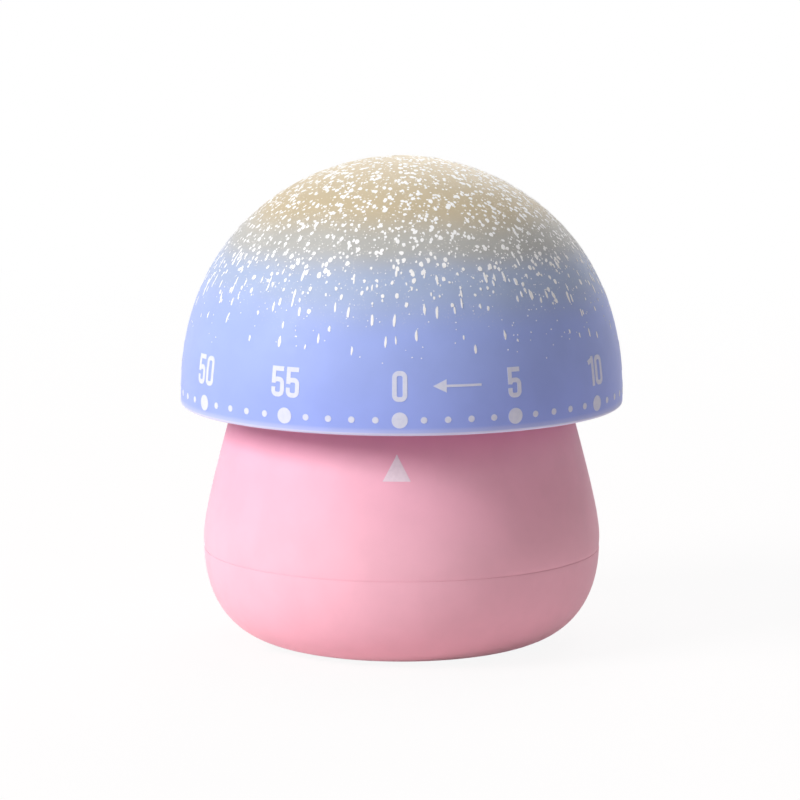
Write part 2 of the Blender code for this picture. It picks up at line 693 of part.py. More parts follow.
# Escapement
def make_escape_wheel(axis):
    pitch = 2 * math.pi / ESCAPE_TEETH
    root = ESCAPE_TIP_RADIUS - ESCAPE_TOOTH_HEIGHT
    outline = []
    for tooth in range(ESCAPE_TEETH):
        middle = tooth * pitch
        outline.append(polar(root, middle - ESCAPE_ROOT_WIDTH / 2 / root))
        outline.append(polar(ESCAPE_TIP_RADIUS, middle - ESCAPE_TIP_WIDTH / 2 / ESCAPE_TIP_RADIUS))
        outline.append(polar(ESCAPE_TIP_RADIUS, middle + ESCAPE_TIP_WIDTH / 2 / ESCAPE_TIP_RADIUS))
        outline.append(polar(root, middle + ESCAPE_ROOT_WIDTH / 2 / root))
    bore = hole(MAIN_AXIS, TRAIN_ARBOR_RADIUS + SEAT_GAP, SMALL_STEPS)
    openings = windows(TRAIN_HUB_RADIUS, root - SPOKE_WIDTH / 2, ESCAPE_SPOKES)
    wheel = flat("escape_wheel", [outline, bore] + openings, FLOOR_Z + ESCAPE_LEVEL,
                 ESCAPE_THICKNESS, BRASS, axis)
    wheel.rotation_euler.z = direction(ESCAPE_AXIS, BALANCE_AXIS) + PALLET_HALF_SPAN + pitch / 4


def make_balance():
    axis = empty("balance_axis", BALANCE_AXIS)
    wheel_bottom = FLOOR_Z + SECOND_LEVEL
    anchor_bottom = FLOOR_Z + ANCHOR_LEVEL
    shoulder_low = FLOOR_Z + CLEARANCE
    seat = wheel_bottom - SEAT_GAP
    step = anchor_bottom - SEAT_GAP
    collar_bottom = wheel_bottom + BALANCE_THICKNESS + SEAT_GAP
    profile = [(0.0, TOP_PLATE_Z + PLATE_THICKNESS),
               (TRAIN_PIVOT_RADIUS, TOP_PLATE_Z + PLATE_THICKNESS), (TRAIN_PIVOT_RADIUS, step),
               (TRAIN_ARBOR_RADIUS, step), (TRAIN_ARBOR_RADIUS, seat),
               (BALANCE_SHOULDER_RADIUS, seat), (BALANCE_SHOULDER_RADIUS, shoulder_low),
               (TRAIN_PIVOT_RADIUS, shoulder_low), (TRAIN_PIVOT_RADIUS, BOTTOM_PLATE_Z),
               (0.0, BOTTOM_PLATE_Z)]
    turned("balance_arbor", profile, SMALL_STEPS, STEEL, axis)
    bore = hole(MAIN_AXIS, TRAIN_ARBOR_RADIUS + SEAT_GAP, SMALL_STEPS)
    openings = windows(TRAIN_HUB_RADIUS, BALANCE_RADIUS - BALANCE_RIM, BALANCE_SPOKES)
    rim = circle(MAIN_AXIS, BALANCE_RADIUS, PLATE_STEPS)
    flat("balance_wheel", [rim, bore] + openings, wheel_bottom, BALANCE_THICKNESS, BRASS, axis)
    towards = direction(BALANCE_AXIS, ESCAPE_AXIS)
    spread = math.pi / 2 - PALLET_HALF_SPAN
    arms = [(towards - spread, PALLET_ARM), (towards + spread, PALLET_ARM)]
    outlines = [lever(ANCHOR_HUB_RADIUS, arms, ANCHOR_ARM_WIDTH / 2, round_tip=True),
                hole(MAIN_AXIS, TRAIN_PIVOT_RADIUS + SEAT_GAP, SMALL_STEPS)]
    outlines += [hole(polar(length, turn), PALLET_PIN_RADIUS + SEAT_GAP, PIN_STEPS)
                 for turn, length in arms]
    flat("pallet_anchor", outlines, anchor_bottom, ANCHOR_THICKNESS, STEEL, axis)
    for number, (turn, length) in enumerate(arms, start=1):
        rod(f"pallet_pin_{number}", polar(length, turn), FLOOR_Z + PALLET_PIN_BOTTOM,
            anchor_bottom + ANCHOR_THICKNESS, PALLET_PIN_RADIUS, STEEL, axis, PIN_STEPS)


# Mainspring
def make_mainspring():
    """A spiral strip from the arbor's hub, with its outer eye round a post."""
    half = SPRING_STRIP / 2
    post = polar(SPRING_POST_CIRCLE, SPRING_POST_ANGLE)
    eye = SPRING_POST_RADIUS + RUNNING_GAP + half
    inner = SPRING_HUB_RADIUS + RUNNING_GAP + half
    outer = SPRING_POST_CIRCLE - eye
    count = SPRING_TURNS * SPIRAL_STEPS
    path = []
    for step in range(count):
        share = step / count
        turn = SPRING_POST_ANGLE - 2 * math.pi * SPRING_TURNS * (1 - share)
        path.append((polar(inner + (outer - inner) * share, turn), polar(1.0, turn)))
    for step in range(EYE_STEPS - EYE_GAP_STEPS):
        turn = SPRING_POST_ANGLE + math.pi - 2 * math.pi * step / EYE_STEPS
        outward = polar(-1.0, turn)
        path.append(((post[0] + eye * math.cos(turn), post[1] + eye * math.sin(turn)), outward))
    left = [(x + u * half, y + v * half) for (x, y), (u, v) in path]
    right = [(x - u * half, y - v * half) for (x, y), (u, v) in path]
    flat("mainspring", [left + right[::-1]], FLOOR_Z + SPRING_LEVEL, SPRING_HEIGHT, SPRING_STEEL)


def stud_profile(radius, neck, top):
    """A stud riveted in the bottom plate and standing on its top face."""
    seat = FLOOR_Z + SEAT_GAP
    return [(0.0, top), (radius, top), (radius, seat), (neck, seat), (neck, BOTTOM_PLATE_Z),
            (0.0, BOTTOM_PLATE_Z)]


def make_studs():
    stop_axis = empty("stop_place", polar(STOP_CIRCLE, HAMMER_ANGLE + 2 * stop_half_angle()))
    top = FLOOR_Z + TRIP_LEVEL + TRIP_THICKNESS + CLEARANCE
    turned("stop_stud", stud_profile(STOP_RADIUS, STOP_NECK_RADIUS, top), SMALL_STEPS, STEEL,
           stop_axis)
    post_axis = empty("spring_post_place", polar(SPRING_POST_CIRCLE, SPRING_POST_ANGLE))
    top = FLOOR_Z + SPRING_LEVEL + SPRING_HEIGHT
    turned("spring_post", stud_profile(SPRING_POST_RADIUS, SPRING_POST_NECK_RADIUS, top),
           SMALL_STEPS, STEEL, post_axis)


# Movement frame
def make_plates():
    pivots = [SECOND_AXIS, THIRD_AXIS, ESCAPE_AXIS, BALANCE_AXIS]
    rim = circle(MAIN_AXIS, PLATE_RADIUS, PLATE_STEPS)
    pivot_hole = TRAIN_PIVOT_RADIUS + RUNNING_GAP
    top = [rim, hole(MAIN_AXIS, JOURNAL_RADIUS + RUNNING_GAP, MEDIUM_STEPS)]
    top += [hole(place, pivot_hole, PIN_STEPS) for place in pivots + [HAMMER_AXIS]]
    top += [hole(place, PILLAR_NECK_RADIUS + SEAT_GAP, SMALL_STEPS) for place in PILLAR_PLACES]
    flat("top_plate", top, TOP_PLATE_Z, PLATE_THICKNESS, BRASS)
    bottom = [rim, hole(MAIN_AXIS, POST_RADIUS + SEAT_GAP, MEDIUM_STEPS)]
    bottom += [hole(place, pivot_hole, PIN_STEPS) for place in pivots]
    bottom.append(hole(HAMMER_AXIS, HAMMER_ARBOR_RADIUS + RUNNING_GAP, SMALL_STEPS))
    bottom += [hole(place, PILLAR_RIVET_NECK_RADIUS + SEAT_GAP, SMALL_STEPS)
               for place in PILLAR_PLACES]
    bottom.append(hole(polar(STOP_CIRCLE, HAMMER_ANGLE + 2 * stop_half_angle()),
                       STOP_NECK_RADIUS + SEAT_GAP, SMALL_STEPS))
    bottom.append(hole(polar(SPRING_POST_CIRCLE, SPRING_POST_ANGLE),
                       SPRING_POST_NECK_RADIUS + SEAT_GAP, SMALL_STEPS))
    flat("bottom_plate", bottom, BOTTOM_PLATE_Z, PLATE_THICKNESS, BRASS)


def make_pillars():
    """Pillars riveted in the bottom plate and tapped for the screws from above."""
    high = TOP_PLATE_Z - SEAT_GAP
    low = FLOOR_Z + SEAT_GAP
    rivet_top = BOTTOM_PLATE_Z - SEAT_GAP
    top = TOP_PLATE_Z + PLATE_THICKNESS
    bore = SCREW_RADIUS + SEAT_GAP
    bore_bottom = top - SCREW_GRIP - CLEARANCE
    profile = [(0.0, bore_bottom), (bore, bore_bottom), (bore, top), (PILLAR_NECK_RADIUS, top),
               (PILLAR_NECK_RADIUS, high), (PILLAR_RADIUS, high), (PILLAR_RADIUS, low),
               (PILLAR_RIVET_NECK_RADIUS, low), (PILLAR_RIVET_NECK_RADIUS, rivet_top),
               (PILLAR_RIVET_RADIUS, rivet_top),
               (PILLAR_RIVET_RADIUS, rivet_top - PILLAR_RIVET_HEIGHT),
               (0.0, rivet_top - PILLAR_RIVET_HEIGHT)]
    for number, place in enumerate(PILLAR_PLACES, start=1):
        pillar = turned(f"frame_pillar_{number}", profile, SMALL_STEPS, STEEL)
        pillar.location = (*place, 0.0)


def make_screw(name, place, seat, length, up):
    """A slotted screw with its head's seat at a height, pointing up or down."""
    sign = 1 if up else -1
    head = seat - sign * SCREW_HEAD_HEIGHT
    tip = seat + sign * length
    profile = [(0.0, head), (SCREW_HEAD_RADIUS, head), (SCREW_HEAD_RADIUS, seat),
               (SCREW_RADIUS, seat), (SCREW_RADIUS, tip), (0.0, tip)]
    if up:
        profile.reverse()
    screw = turned(name, profile, SMALL_STEPS, STEEL)
    screw.location = (*place, 0.0)
    slot_length = 2 * (SCREW_HEAD_RADIUS + CLEARANCE)
    slot = block(name + "_slot", (slot_length, SCREW_SLOT_WIDTH, 2 * SCREW_SLOT_DEPTH),
                 (*place, head), direction(MAIN_AXIS, place), STEEL)
    cut(screw, slot)


# Base
def make_base_shell():
    neck = NECK_RADIUS - DECK_ROUND
    edge = arc((neck, DECK_Z - DECK_ROUND), DECK_ROUND, math.pi / 2, 0.0, ROUND_POINTS)
    top = DECK_Z - DECK_ROUND
    low = SEAM_Z + SEAM_GAP / 2
    flank = [(base_radius(height), height) for height in between(top, low, FLANK_POINTS)]
    profile = [(0.0, DECK_Z)] + edge + flank[1:] + [(0.0, low)]
    shell = turned("base_shell", profile, SHELL_STEPS, BASE_PLASTIC)
    below = low - BASE_WALL
    inner = [(base_radius(height) - BASE_WALL, height)
             for height in between(DECK_UNDERSIDE, low, FLANK_INNER_POINTS)]
    cavity = turned("base_cavity", [(0.0, DECK_UNDERSIDE)] + inner
                    + [(inner[-1][0], below), (0.0, below)], SHELL_STEPS, BASE_PLASTIC)
    boss_bottom = DECK_UNDERSIDE - BOSS_DROP
    for number, place in enumerate(PILLAR_PLACES, start=1):
        cut(cavity, rod(f"movement_boss_{number}", place, boss_bottom, DECK_Z,
                        MOVEMENT_BOSS_RADIUS, BASE_PLASTIC, steps=MEDIUM_STEPS))
    boss_top = SEAM_Z + COVER_BOSS_HEIGHT
    gusset_bottom = SEAM_Z + LIP_HEIGHT + CLEARANCE
    gusset_length = BELLY_RADIUS - COVER_SCREW_CIRCLE
    gusset_height = boss_top - LIP_ROOT - gusset_bottom
    for number, angle in enumerate(COVER_SCREW_ANGLES, start=1):
        middle = polar(COVER_SCREW_CIRCLE + gusset_length / 2, angle)
        gusset = block(f"gusset_{number}", (gusset_length, GUSSET_THICKNESS, gusset_height),
                       (*middle, gusset_bottom + gusset_height / 2), angle, BASE_PLASTIC)
        boss = rod(f"cover_boss_{number}", COVER_SCREW_PLACES[number - 1], below - BASE_WALL,
                   boss_top, COVER_BOSS_RADIUS, BASE_PLASTIC, steps=MEDIUM_STEPS)
        fuse(boss, gusset)
        cut(cavity, boss)
    cut(shell, cavity)
    bush_hole = JOURNAL_RADIUS + RUNNING_GAP + BUSH_WALL + SEAT_GAP
    cut(shell, rod("bush_hole", MAIN_AXIS, DECK_UNDERSIDE - CLEARANCE, DECK_Z + CLEARANCE,
                   bush_hole, BASE_PLASTIC, steps=MEDIUM_STEPS))
    seat = DECK_Z - SCREW_HEAD_HEIGHT - CLEARANCE
    for number, place in enumerate(PILLAR_PLACES, start=1):
        cut(shell, rod(f"movement_hole_{number}", place, boss_bottom - CLEARANCE,
                       DECK_Z + CLEARANCE, SCREW_RADIUS + SEAT_GAP, BASE_PLASTIC))
        cut(shell, rod(f"movement_recess_{number}", place, seat, DECK_Z + CLEARANCE,
                       SCREW_HEAD_RADIUS + CLEARANCE, BASE_PLASTIC))
    for number, place in enumerate(COVER_SCREW_PLACES, start=1):
        cut(shell, rod(f"cover_pilot_{number}", place, below, SEAM_Z + SCREW_GRIP + CLEARANCE,
                       SCREW_RADIUS + SEAT_GAP, BASE_PLASTIC))
    return seat


def make_movement_screws(seat):
    length = seat - (TOP_PLATE_Z + PLATE_THICKNESS - SCREW_GRIP)
    for number, place in enumerate(PILLAR_PLACES, start=1):
        make_screw(f"movement_screw_{number}", place, seat + SEAT_GAP, length, up=False)


def make_deck_bush():
    bore = JOURNAL_RADIUS + RUNNING_GAP
    outer = bore + BUSH_WALL
    seat = DECK_Z + SEAT_GAP
    profile = [(bore, BUSH_TOP), (BUSH_FLANGE_RADIUS, BUSH_TOP), (BUSH_FLANGE_RADIUS, seat),
               (outer, seat), (outer, DECK_UNDERSIDE), (bore, DECK_UNDERSIDE)]
    turned("deck_bush", profile, MEDIUM_STEPS, BRASS, ring=True)


def make_bottom_cover():
    high = SEAM_Z - SEAM_GAP / 2
    lip_top = SEAM_Z + LIP_HEIGHT
    lip_outer = min(base_radius(SEAM_Z), base_radius(lip_top)) - BASE_WALL - CLEARANCE
    lip_inner = lip_outer - LIP_THICKNESS
    ring_inner = FOOT_RADIUS - FOOT_RING_WIDTH
    outside = underside(FOOT_RADIUS, BELLY_RADIUS, 0.0, UNDERSIDE_POINTS)
    profile = [(0.0, lip_top), (lip_outer, lip_top), (lip_outer, high), (outside[0][0], high)]
    profile += outside[1:]
    profile += [(ring_inner, 0.0), (ring_inner, FOOT_RECESS), (0.0, FOOT_RECESS)]
    cover = turned("bottom_cover", profile, SHELL_STEPS, BASE_PLASTIC)
    inside = underside(FOOT_RADIUS, BELLY_RADIUS - BASE_WALL, COVER_FLOOR,
                       UNDERSIDE_INNER_POINTS)
    chamfer = SEAM_Z - LIP_ROOT
    lower = [point for point in inside if point[0] < lip_inner or point[1] < chamfer - LIP_ROOT]
    cavity = turned("cover_cavity", [(0.0, lip_top + CLEARANCE), (lip_inner, lip_top + CLEARANCE),
                                     (lip_inner, chamfer)] + lower + [(0.0, COVER_FLOOR)],
                    SHELL_STEPS, BASE_PLASTIC)
    for number, place in enumerate(COVER_SCREW_PLACES, start=1):
        cut(cavity, rod(f"cover_sleeve_{number}", place, -COVER_FLOOR, high, COVER_BOSS_RADIUS,
                        BASE_PLASTIC, steps=MEDIUM_STEPS))
    cut(cover, cavity)
    for number, place in enumerate(COVER_SCREW_PLACES, start=1):
        cut(cover, rod(f"cover_recess_{number}", place, -COVER_FLOOR, COVER_SCREW_SEAT,
                       SCREW_HEAD_RADIUS + CLEARANCE, BASE_PLASTIC))
        cut(cover, rod(f"cover_hole_{number}", place, 0.0, SEAM_Z, SCREW_RADIUS + SEAT_GAP,
                       BASE_PLASTIC))
        make_screw(f"cover_screw_{number}", place, COVER_SCREW_SEAT - SEAT_GAP,
                   SEAM_Z + SCREW_GRIP - COVER_SCREW_SEAT, up=True)


# Bell
def make_bell():
    bore = SCREW_RADIUS + SEAT_GAP
    skirt_z = BELL_RIM_Z - BELL_SKIRT
    reach = BELL_RADIUS - BELL_WALL - BELL_FLAT_RADIUS
    inside = [(bore, BELL_SEAT_Z)]
    outside = [(bore, BELL_SEAT_Z - BELL_WALL)]
    for angle in between(0.0, math.pi / 2, BELL_POINTS):
        across, down = math.sin(angle), math.cos(angle)
        inside.append((BELL_FLAT_RADIUS + reach * across,
                       skirt_z - (skirt_z - BELL_SEAT_Z) * down))
        outside.append((BELL_FLAT_RADIUS + (reach + BELL_WALL) * across,
                        skirt_z - (skirt_z - BELL_SEAT_Z + BELL_WALL) * down))
    rim = [(BELL_RADIUS - BELL_WALL, BELL_RIM_Z), (BELL_RADIUS, BELL_RIM_Z)]
    profile = inside + rim + outside[::-1]
    turned("bell", profile, BELL_STEPS, BELL_METAL, ring=True)
    make_bell_post()
    make_screw("bell_screw", MAIN_AXIS, BELL_SEAT_Z - BELL_WALL - SEAT_GAP,
               BELL_WALL + SCREW_GRIP, up=True)


def make_bell_post():
    """The post under the bottom plate, with the arbor's foot bearing in its top."""
    bearing = ARBOR_PIVOT_RADIUS + RUNNING_GAP
    bearing_bottom = FLOOR_Z - ARBOR_PIVOT_LENGTH
    flange_top = BOTTOM_PLATE_Z - SEAT_GAP
    flange_bottom = flange_top - POST_FLANGE_HEIGHT
    bottom = BELL_SEAT_Z + SEAT_GAP
    bore = SCREW_RADIUS + SEAT_GAP
    bore_top = BELL_SEAT_Z + SCREW_GRIP + CLEARANCE
    profile = [(0.0, bearing_bottom), (bearing, bearing_bottom), (bearing, FLOOR_Z),
               (POST_RADIUS, FLOOR_Z), (POST_RADIUS, flange_top),
               (POST_FLANGE_RADIUS, flange_top), (POST_FLANGE_RADIUS, flange_bottom),
               (POST_RADIUS, flange_bottom), (POST_RADIUS, bottom), (bore, bottom),
               (bore, bore_top), (0.0, bore_top)]
    turned("bell_post", profile, MEDIUM_STEPS, STEEL)


# Striking work
def make_hammer():
    axis = empty("hammer_axis", HAMMER_AXIS)
    arm_top = BOTTOM_PLATE_Z - HAMMER_ARM_DROP
    arm_bottom = arm_top - HAMMER_ARM_THICKNESS
    shoulder = TOP_PLATE_Z - CLEARANCE
    plate_top = TOP_PLATE_Z + PLATE_THICKNESS
    profile = [(0.0, plate_top), (TRAIN_PIVOT_RADIUS, plate_top), (TRAIN_PIVOT_RADIUS, shoulder),
               (HAMMER_ARBOR_RADIUS, shoulder), (HAMMER_ARBOR_RADIUS, arm_bottom),
               (0.0, arm_bottom)]
    turned("hammer_arbor", profile, SMALL_STEPS, STEEL, axis)
    bore = hole(MAIN_AXIS, HAMMER_ARBOR_RADIUS + SEAT_GAP, SMALL_STEPS)
    half_width = HAMMER_ARM_WIDTH / 2
    tail_length = HAMMER_CIRCLE - TRIP_FINGER_REACH - TRIP_CLEARANCE
    tail = lever(HAMMER_HUB_RADIUS, [(HAMMER_ANGLE + math.pi, tail_length)], half_width,
                 round_tip=False)
    flat("trip_tail", [tail, bore], FLOOR_Z + TRIP_LEVEL, TRIP_THICKNESS, STEEL, axis)
    towards = HAMMER_ANGLE + math.pi / 2
    head = polar(HAMMER_ARM_LENGTH, towards)
    arm = lever(HAMMER_HUB_RADIUS, [(towards, HAMMER_ARM_LENGTH)], half_width, round_tip=True)
    socket = hole(head, HAMMER_NECK_RADIUS + SEAT_GAP, PIN_STEPS)
    flat("hammer_arm", [arm, bore, socket], arm_bottom, HAMMER_ARM_THICKNESS, STEEL, axis)
    head_top = arm_bottom - SEAT_GAP
    head_bottom = BELL_RIM_Z - BELL_SKIRT
    profile = [(0.0, arm_top), (HAMMER_NECK_RADIUS, arm_top), (HAMMER_NECK_RADIUS, head_top),
               (HAMMER_HEAD_RADIUS, head_top), (HAMMER_HEAD_RADIUS, head_bottom + HAMMER_HEAD_ROUND),
               (HAMMER_HEAD_RADIUS - HAMMER_HEAD_ROUND, head_bottom), (0.0, head_bottom)]
    hammer_head = turned("hammer_head", profile, SMALL_STEPS, BRASS, axis)
    hammer_head.location = (*head, 0.0)
    make_hammer_spring()


def make_hammer_spring():
    """A coil round the hammer's arbor, one leg on a pillar and one on the tail."""
    bottom = FLOOR_Z + TRIP_LEVEL + TRIP_THICKNESS + CLEARANCE + COIL_WIRE_RADIUS
    centre_x, centre_y = HAMMER_AXIS
    tail_end = HAMMER_CIRCLE - TRIP_FINGER_REACH - TRIP_CLEARANCE
    path = [(centre_x + tail_end, centre_y - COIL_RADIUS, bottom)]
    count = COIL_TURNS * COIL_STEPS
    for step in range(count + 1):
        turn = -math.pi / 2 - 2 * math.pi * step / COIL_STEPS
        height = bottom + COIL_PITCH * step / COIL_STEPS
        across, along = polar(COIL_RADIUS, turn)
        path.append((centre_x + across, centre_y + along, height))
    top = bottom + COIL_PITCH * COIL_TURNS
    pillar = PILLAR_PLACES[2]
    reach = PILLAR_RADIUS + COIL_WIRE_RADIUS + RUNNING_GAP
    path.append((centre_x - COIL_RADIUS, centre_y - COIL_RADIUS, top))
    path.append((pillar[0] - reach, pillar[1], top))
    curve = bpy.data.curves.new("hammer_spring", "CURVE")
    curve.dimensions = "3D"
    curve.bevel_depth = COIL_WIRE_RADIUS
    curve.bevel_resolution = WIRE_ROUNDING
    curve.use_fill_caps = True
    spline = curve.splines.new("POLY")
    spline.points.add(len(path) - 1)
    for point, place in zip(spline.points, path):
        point.co = (*place, 1.0)
    add("hammer_spring", curve, SPRING_STEEL)


def make_timer():
    cap_axis = empty("cap_axis", MAIN_AXIS)
    ceiling = make_cap_shell(cap_axis)
    make_cap_hub(cap_axis, ceiling)
    make_main_arbor(cap_axis)
    make_clutch(cap_axis)
    make_trip_disc(cap_axis)
    make_train(cap_axis)
    make_balance()
    make_mainspring()
    make_studs()
    make_plates()
    make_pillars()
    seat = make_base_shell()
    make_movement_screws(seat)
    make_deck_bush()
    make_bottom_cover()
    make_bell()
    make_hammer()


make_timer()
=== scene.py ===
"""A mushroom-shaped wind-up kitchen timer, dressed for its photograph.

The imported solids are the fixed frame. The plastic shells are replaced by finer
ones on the same profiles, the printing and the paint flecks are laid on them as
thin solids, and the movement's pieces get their metals. Lengths are in metres,
and the front faces -Y.
"""

import json
import math
import random

import bmesh
import bpy
import numpy as np
from mathutils import Matrix, Vector


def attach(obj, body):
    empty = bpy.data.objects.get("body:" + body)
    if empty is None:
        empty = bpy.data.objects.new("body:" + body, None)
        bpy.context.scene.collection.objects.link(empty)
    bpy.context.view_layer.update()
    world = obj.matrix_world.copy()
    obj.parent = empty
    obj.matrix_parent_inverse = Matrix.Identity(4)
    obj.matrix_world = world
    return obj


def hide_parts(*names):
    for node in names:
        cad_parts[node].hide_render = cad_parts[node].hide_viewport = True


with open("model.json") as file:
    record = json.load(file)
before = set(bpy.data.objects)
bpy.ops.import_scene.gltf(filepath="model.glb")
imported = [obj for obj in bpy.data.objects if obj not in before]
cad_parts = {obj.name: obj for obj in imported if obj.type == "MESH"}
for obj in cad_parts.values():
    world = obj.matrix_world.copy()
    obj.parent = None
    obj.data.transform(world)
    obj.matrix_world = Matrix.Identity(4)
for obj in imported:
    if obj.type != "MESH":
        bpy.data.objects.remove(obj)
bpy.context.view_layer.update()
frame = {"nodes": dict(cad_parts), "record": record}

# Cap
CAP_RADIUS = 0.0350
CAP_WALL = 0.0020
RIM_Z = 0.0379
CROWN_Z = 0.0770
RIM_ROUND = 0.0006
WIDEST_Z = RIM_Z + RIM_ROUND
SIDE_POWER = 1.91
CROWN_POWER = 2.31
SOCKET_RADIUS = 0.0050
SOCKET_WALL = 0.0014
SOCKET_DEPTH = 0.0050

# Base
BELLY_RADIUS = 0.0315
BELLY_Z = 0.0165
NECK_RADIUS = 0.02425
NECK_SOFTNESS = 0.2
DECK_Z = 0.0467
DECK_THICKNESS = 0.0020
DECK_ROUND = 0.0015
BASE_WALL = 0.0020
SEAM_Z = 0.0149
SEAM_GAP = 0.00001
SEAM_EDGE = 0.00016
SEAM_SET = 0.00002
DECK_UNDERSIDE = DECK_Z - DECK_THICKNESS
BUSH_HOLE = 0.00361
BOSS_DROP = 0.0035
BOSS_RADIUS = 0.0028
PILLAR_CIRCLE = 0.0176
PILLAR_ANGLES = (324, 118, 221)

# Bottom cover
FOOT_RADIUS = 0.0170
FOOT_RING_WIDTH = 0.0035
FOOT_RECESS = 0.0008
UNDERSIDE_POWER = 2.4
COVER_FLOOR = 0.0024
LIP_HEIGHT = 0.0020
LIP_THICKNESS = 0.0010
LIP_ROOT = 0.0012
COVER_BOSS_RADIUS = 0.0030
COVER_BOSS_HEIGHT = 0.0070
COVER_SCREW_CIRCLE = 0.0222
COVER_SCREW_SEAT = 0.0050
COVER_SCREW_ANGLES = (90, 210, 330)
GUSSET_THICKNESS = 0.0014

# Screws and fits
SCREW_RADIUS = 0.0007
SCREW_HEAD_RADIUS = 0.0019
SCREW_HEAD_HEIGHT = 0.0012
SCREW_GRIP = 0.0050
SEAT_GAP = 0.00005
CLEARANCE = 0.0003

# Facets
SHELL_STEPS = 180
ROD_STEPS = 32
DOME_POINTS = 64
FLANK_POINTS = 48
UNDERSIDE_POINTS = 36
ROUND_POINTS = 8
SMOOTH_ANGLE = math.radians(40)
ON_AXIS = 1e-7
SETTLE_ROUNDS = 4
SETTLE_RADIUS = 1e-9
SETTLE_RISE = 1e-6
SLOPE_STEP = 1e-5

# Printing
RING_Z = 0.04036
MINUTES = 60
MAJOR_EVERY = 5
MAJOR_DOT = 0.00122
MINOR_DOT = 0.00050
MAJOR_POINTS = 32
MINOR_POINTS = 18
LABEL_Z = RING_Z + 0.0051
DIGIT_HEIGHT = 0.0046
DIGIT_WIDTH = 0.0023
ONE_WIDTH = 0.0017
DIGIT_GAP = 0.00036
STROKE = 0.00071
DIGIT_CORNER = 0.00062
CORNER_POINTS = 7
WAIST_POINTS = 6
PATH_STEP = 0.0003
MITRE_LIMIT = 0.4
ARROW_TIP = math.radians(8.3)
ARROW_TAIL = math.radians(20.8)
ARROW_HEAD = 0.0021
ARROW_HALF = 0.0010
ARROW_SHAFT = 0.00037
ARROW_ROWS = 8
POINTER_APEX = RING_Z - 0.0064
POINTER_FOOT = RING_Z - 0.0104
POINTER_WIDTH = 0.0043
POINTER_BLUNT = 0.00006
POINTER_TURN = math.radians(-1.0)
POINTER_ROWS = 10
POINTER_COLUMNS = 8
PRINT_PROUD = 0.00004
PRINT_DEPTH = 0.00012
PRINT_LAYER = 0.1

# Digits, in shares of their height or of half their width
HOOK = 0.18
WAIST = 0.03
WAIST_CORNER = 0.6
ONE_FLAG = 0.29
TWO_SWEEP = ((1.0, 0.19), (0.92, 0.09), (0.70, 0.0), (-0.72, -0.25), (-0.94, -0.33), (-1.0, -0.38))
THREE_TONGUE = -0.2
FOUR_BAR = -0.23
FOUR_POST = 0.5
FIVE_SWELL = 0.075

# Paint flecks: places are shares of the way from FLECK_LOW_Z to the crown
FLECK_SEED = 41
FLECK_LOW_Z = 0.0470
FLECK_HIGHEST = 0.998
FLECK_PROUD = 0.00003
FLECK_PROUD_SHARES = (0.7, 1.6)
FLECK_UNEVEN = 0.45
FLECK_WAVES = (2, 3, 4)
DENSE_FLECKS = 3200
DENSE_FADE_LOW = 0.25
DENSE_FADE_HIGH = 0.86
DENSE_FADE_POWER = 1.2
DENSE_SIZE = 0.00040
DENSE_SPREAD = 0.38
DENSE_LARGEST = 0.0007
DENSE_STRETCH = (1.0, 1.5)
DENSE_RUN_BELOW = 0.6
DENSE_RUN = 2.5
DENSE_CORNERS = 9
FINE_FLECKS = 2000
FINE_BETA = (2.6, 1.6)
FINE_SIZES = (0.00011, 0.00022)
FINE_STRETCH = 1.2
FINE_CORNERS = 5
DRIPS = 260
DRIP_LOWEST = 0.12
DRIP_HIGHEST = 0.85
DRIP_MIDDLE = 0.22
DRIP_SPREAD = 0.14
DRIP_WIDTHS = (0.00024, 0.00046)
DRIP_STRETCH = (1.8, 5.0)
DRIP_CORNERS = 10

# Colours, as red, green and blue of 255, and the fades as (share of the height, colour)
CAP_FADE = ((0.00, (152, 172, 244)), (0.36, (158, 177, 239)), (0.56, (164, 180, 212)),
            (0.70, (177, 177, 173)), (0.84, (191, 175, 143)), (1.00, (208, 192, 163)))
# The base's fade, with painted shade: its darker stops at 0.84 and 1.00 darken the neck under the
# cap's rim.
BASE_FADE_AND_NECK_SHADE = ((0.00, (252, 190, 206)), (0.35, (252, 192, 209)), (0.64, (251, 187, 207)),
             (0.84, (238, 148, 182)), (1.00, (232, 138, 176)))
HUB_FADE = ((0.00, (226, 225, 220)), (1.00, (232, 231, 226)))
MIST_COLOUR = (244, 240, 232)
# Painted highlight colour for the rim's round lower edge.
RIM_HIGHLIGHT_COLOUR = (226, 228, 246)
PRINT_INK = ((218, 223, 240), (211, 217, 237))
POINTER_INK = ((243, 224, 235), (236, 216, 228))
FLECK_PAINT = ((252, 252, 252), (245, 245, 245))

# Plastic, ink and metal: a noise is its scale and detail, a grain its scale, strength and depth
NOISE_LOW, NOISE_HIGH = 0.3, 0.7
DRIFT_NOISE = (40.0, 1.0)
DRIFT = 0.02
CLOUD_NOISE = (160.0, 4.0)
CLOUD_DARK = 0.955
CAP_GLOSS, CAP_SHEEN = 0.40, 0.22
BASE_GLOSS, BASE_SHEEN = 0.25, 0.10
SHEEN_ROUGHNESS = 0.45
PLASTIC_ROUGHNESS = (0.52, 0.64)
PLASTIC_ROUGH_NOISE = (700.0, 3.0)
PLASTIC_GRAIN = (5200.0, 0.10, 0.00004)
MIST_SCALE = 2600.0
MIST_SPOT = (0.20, 0.32)
MIST_NOISE = (900.0, 1.0)
MIST_CHOICE = (0.50, 0.56)
MIST_LOW_Z, MIST_HIGH_Z = 0.052, 0.068
MIST_COVER = 0.55
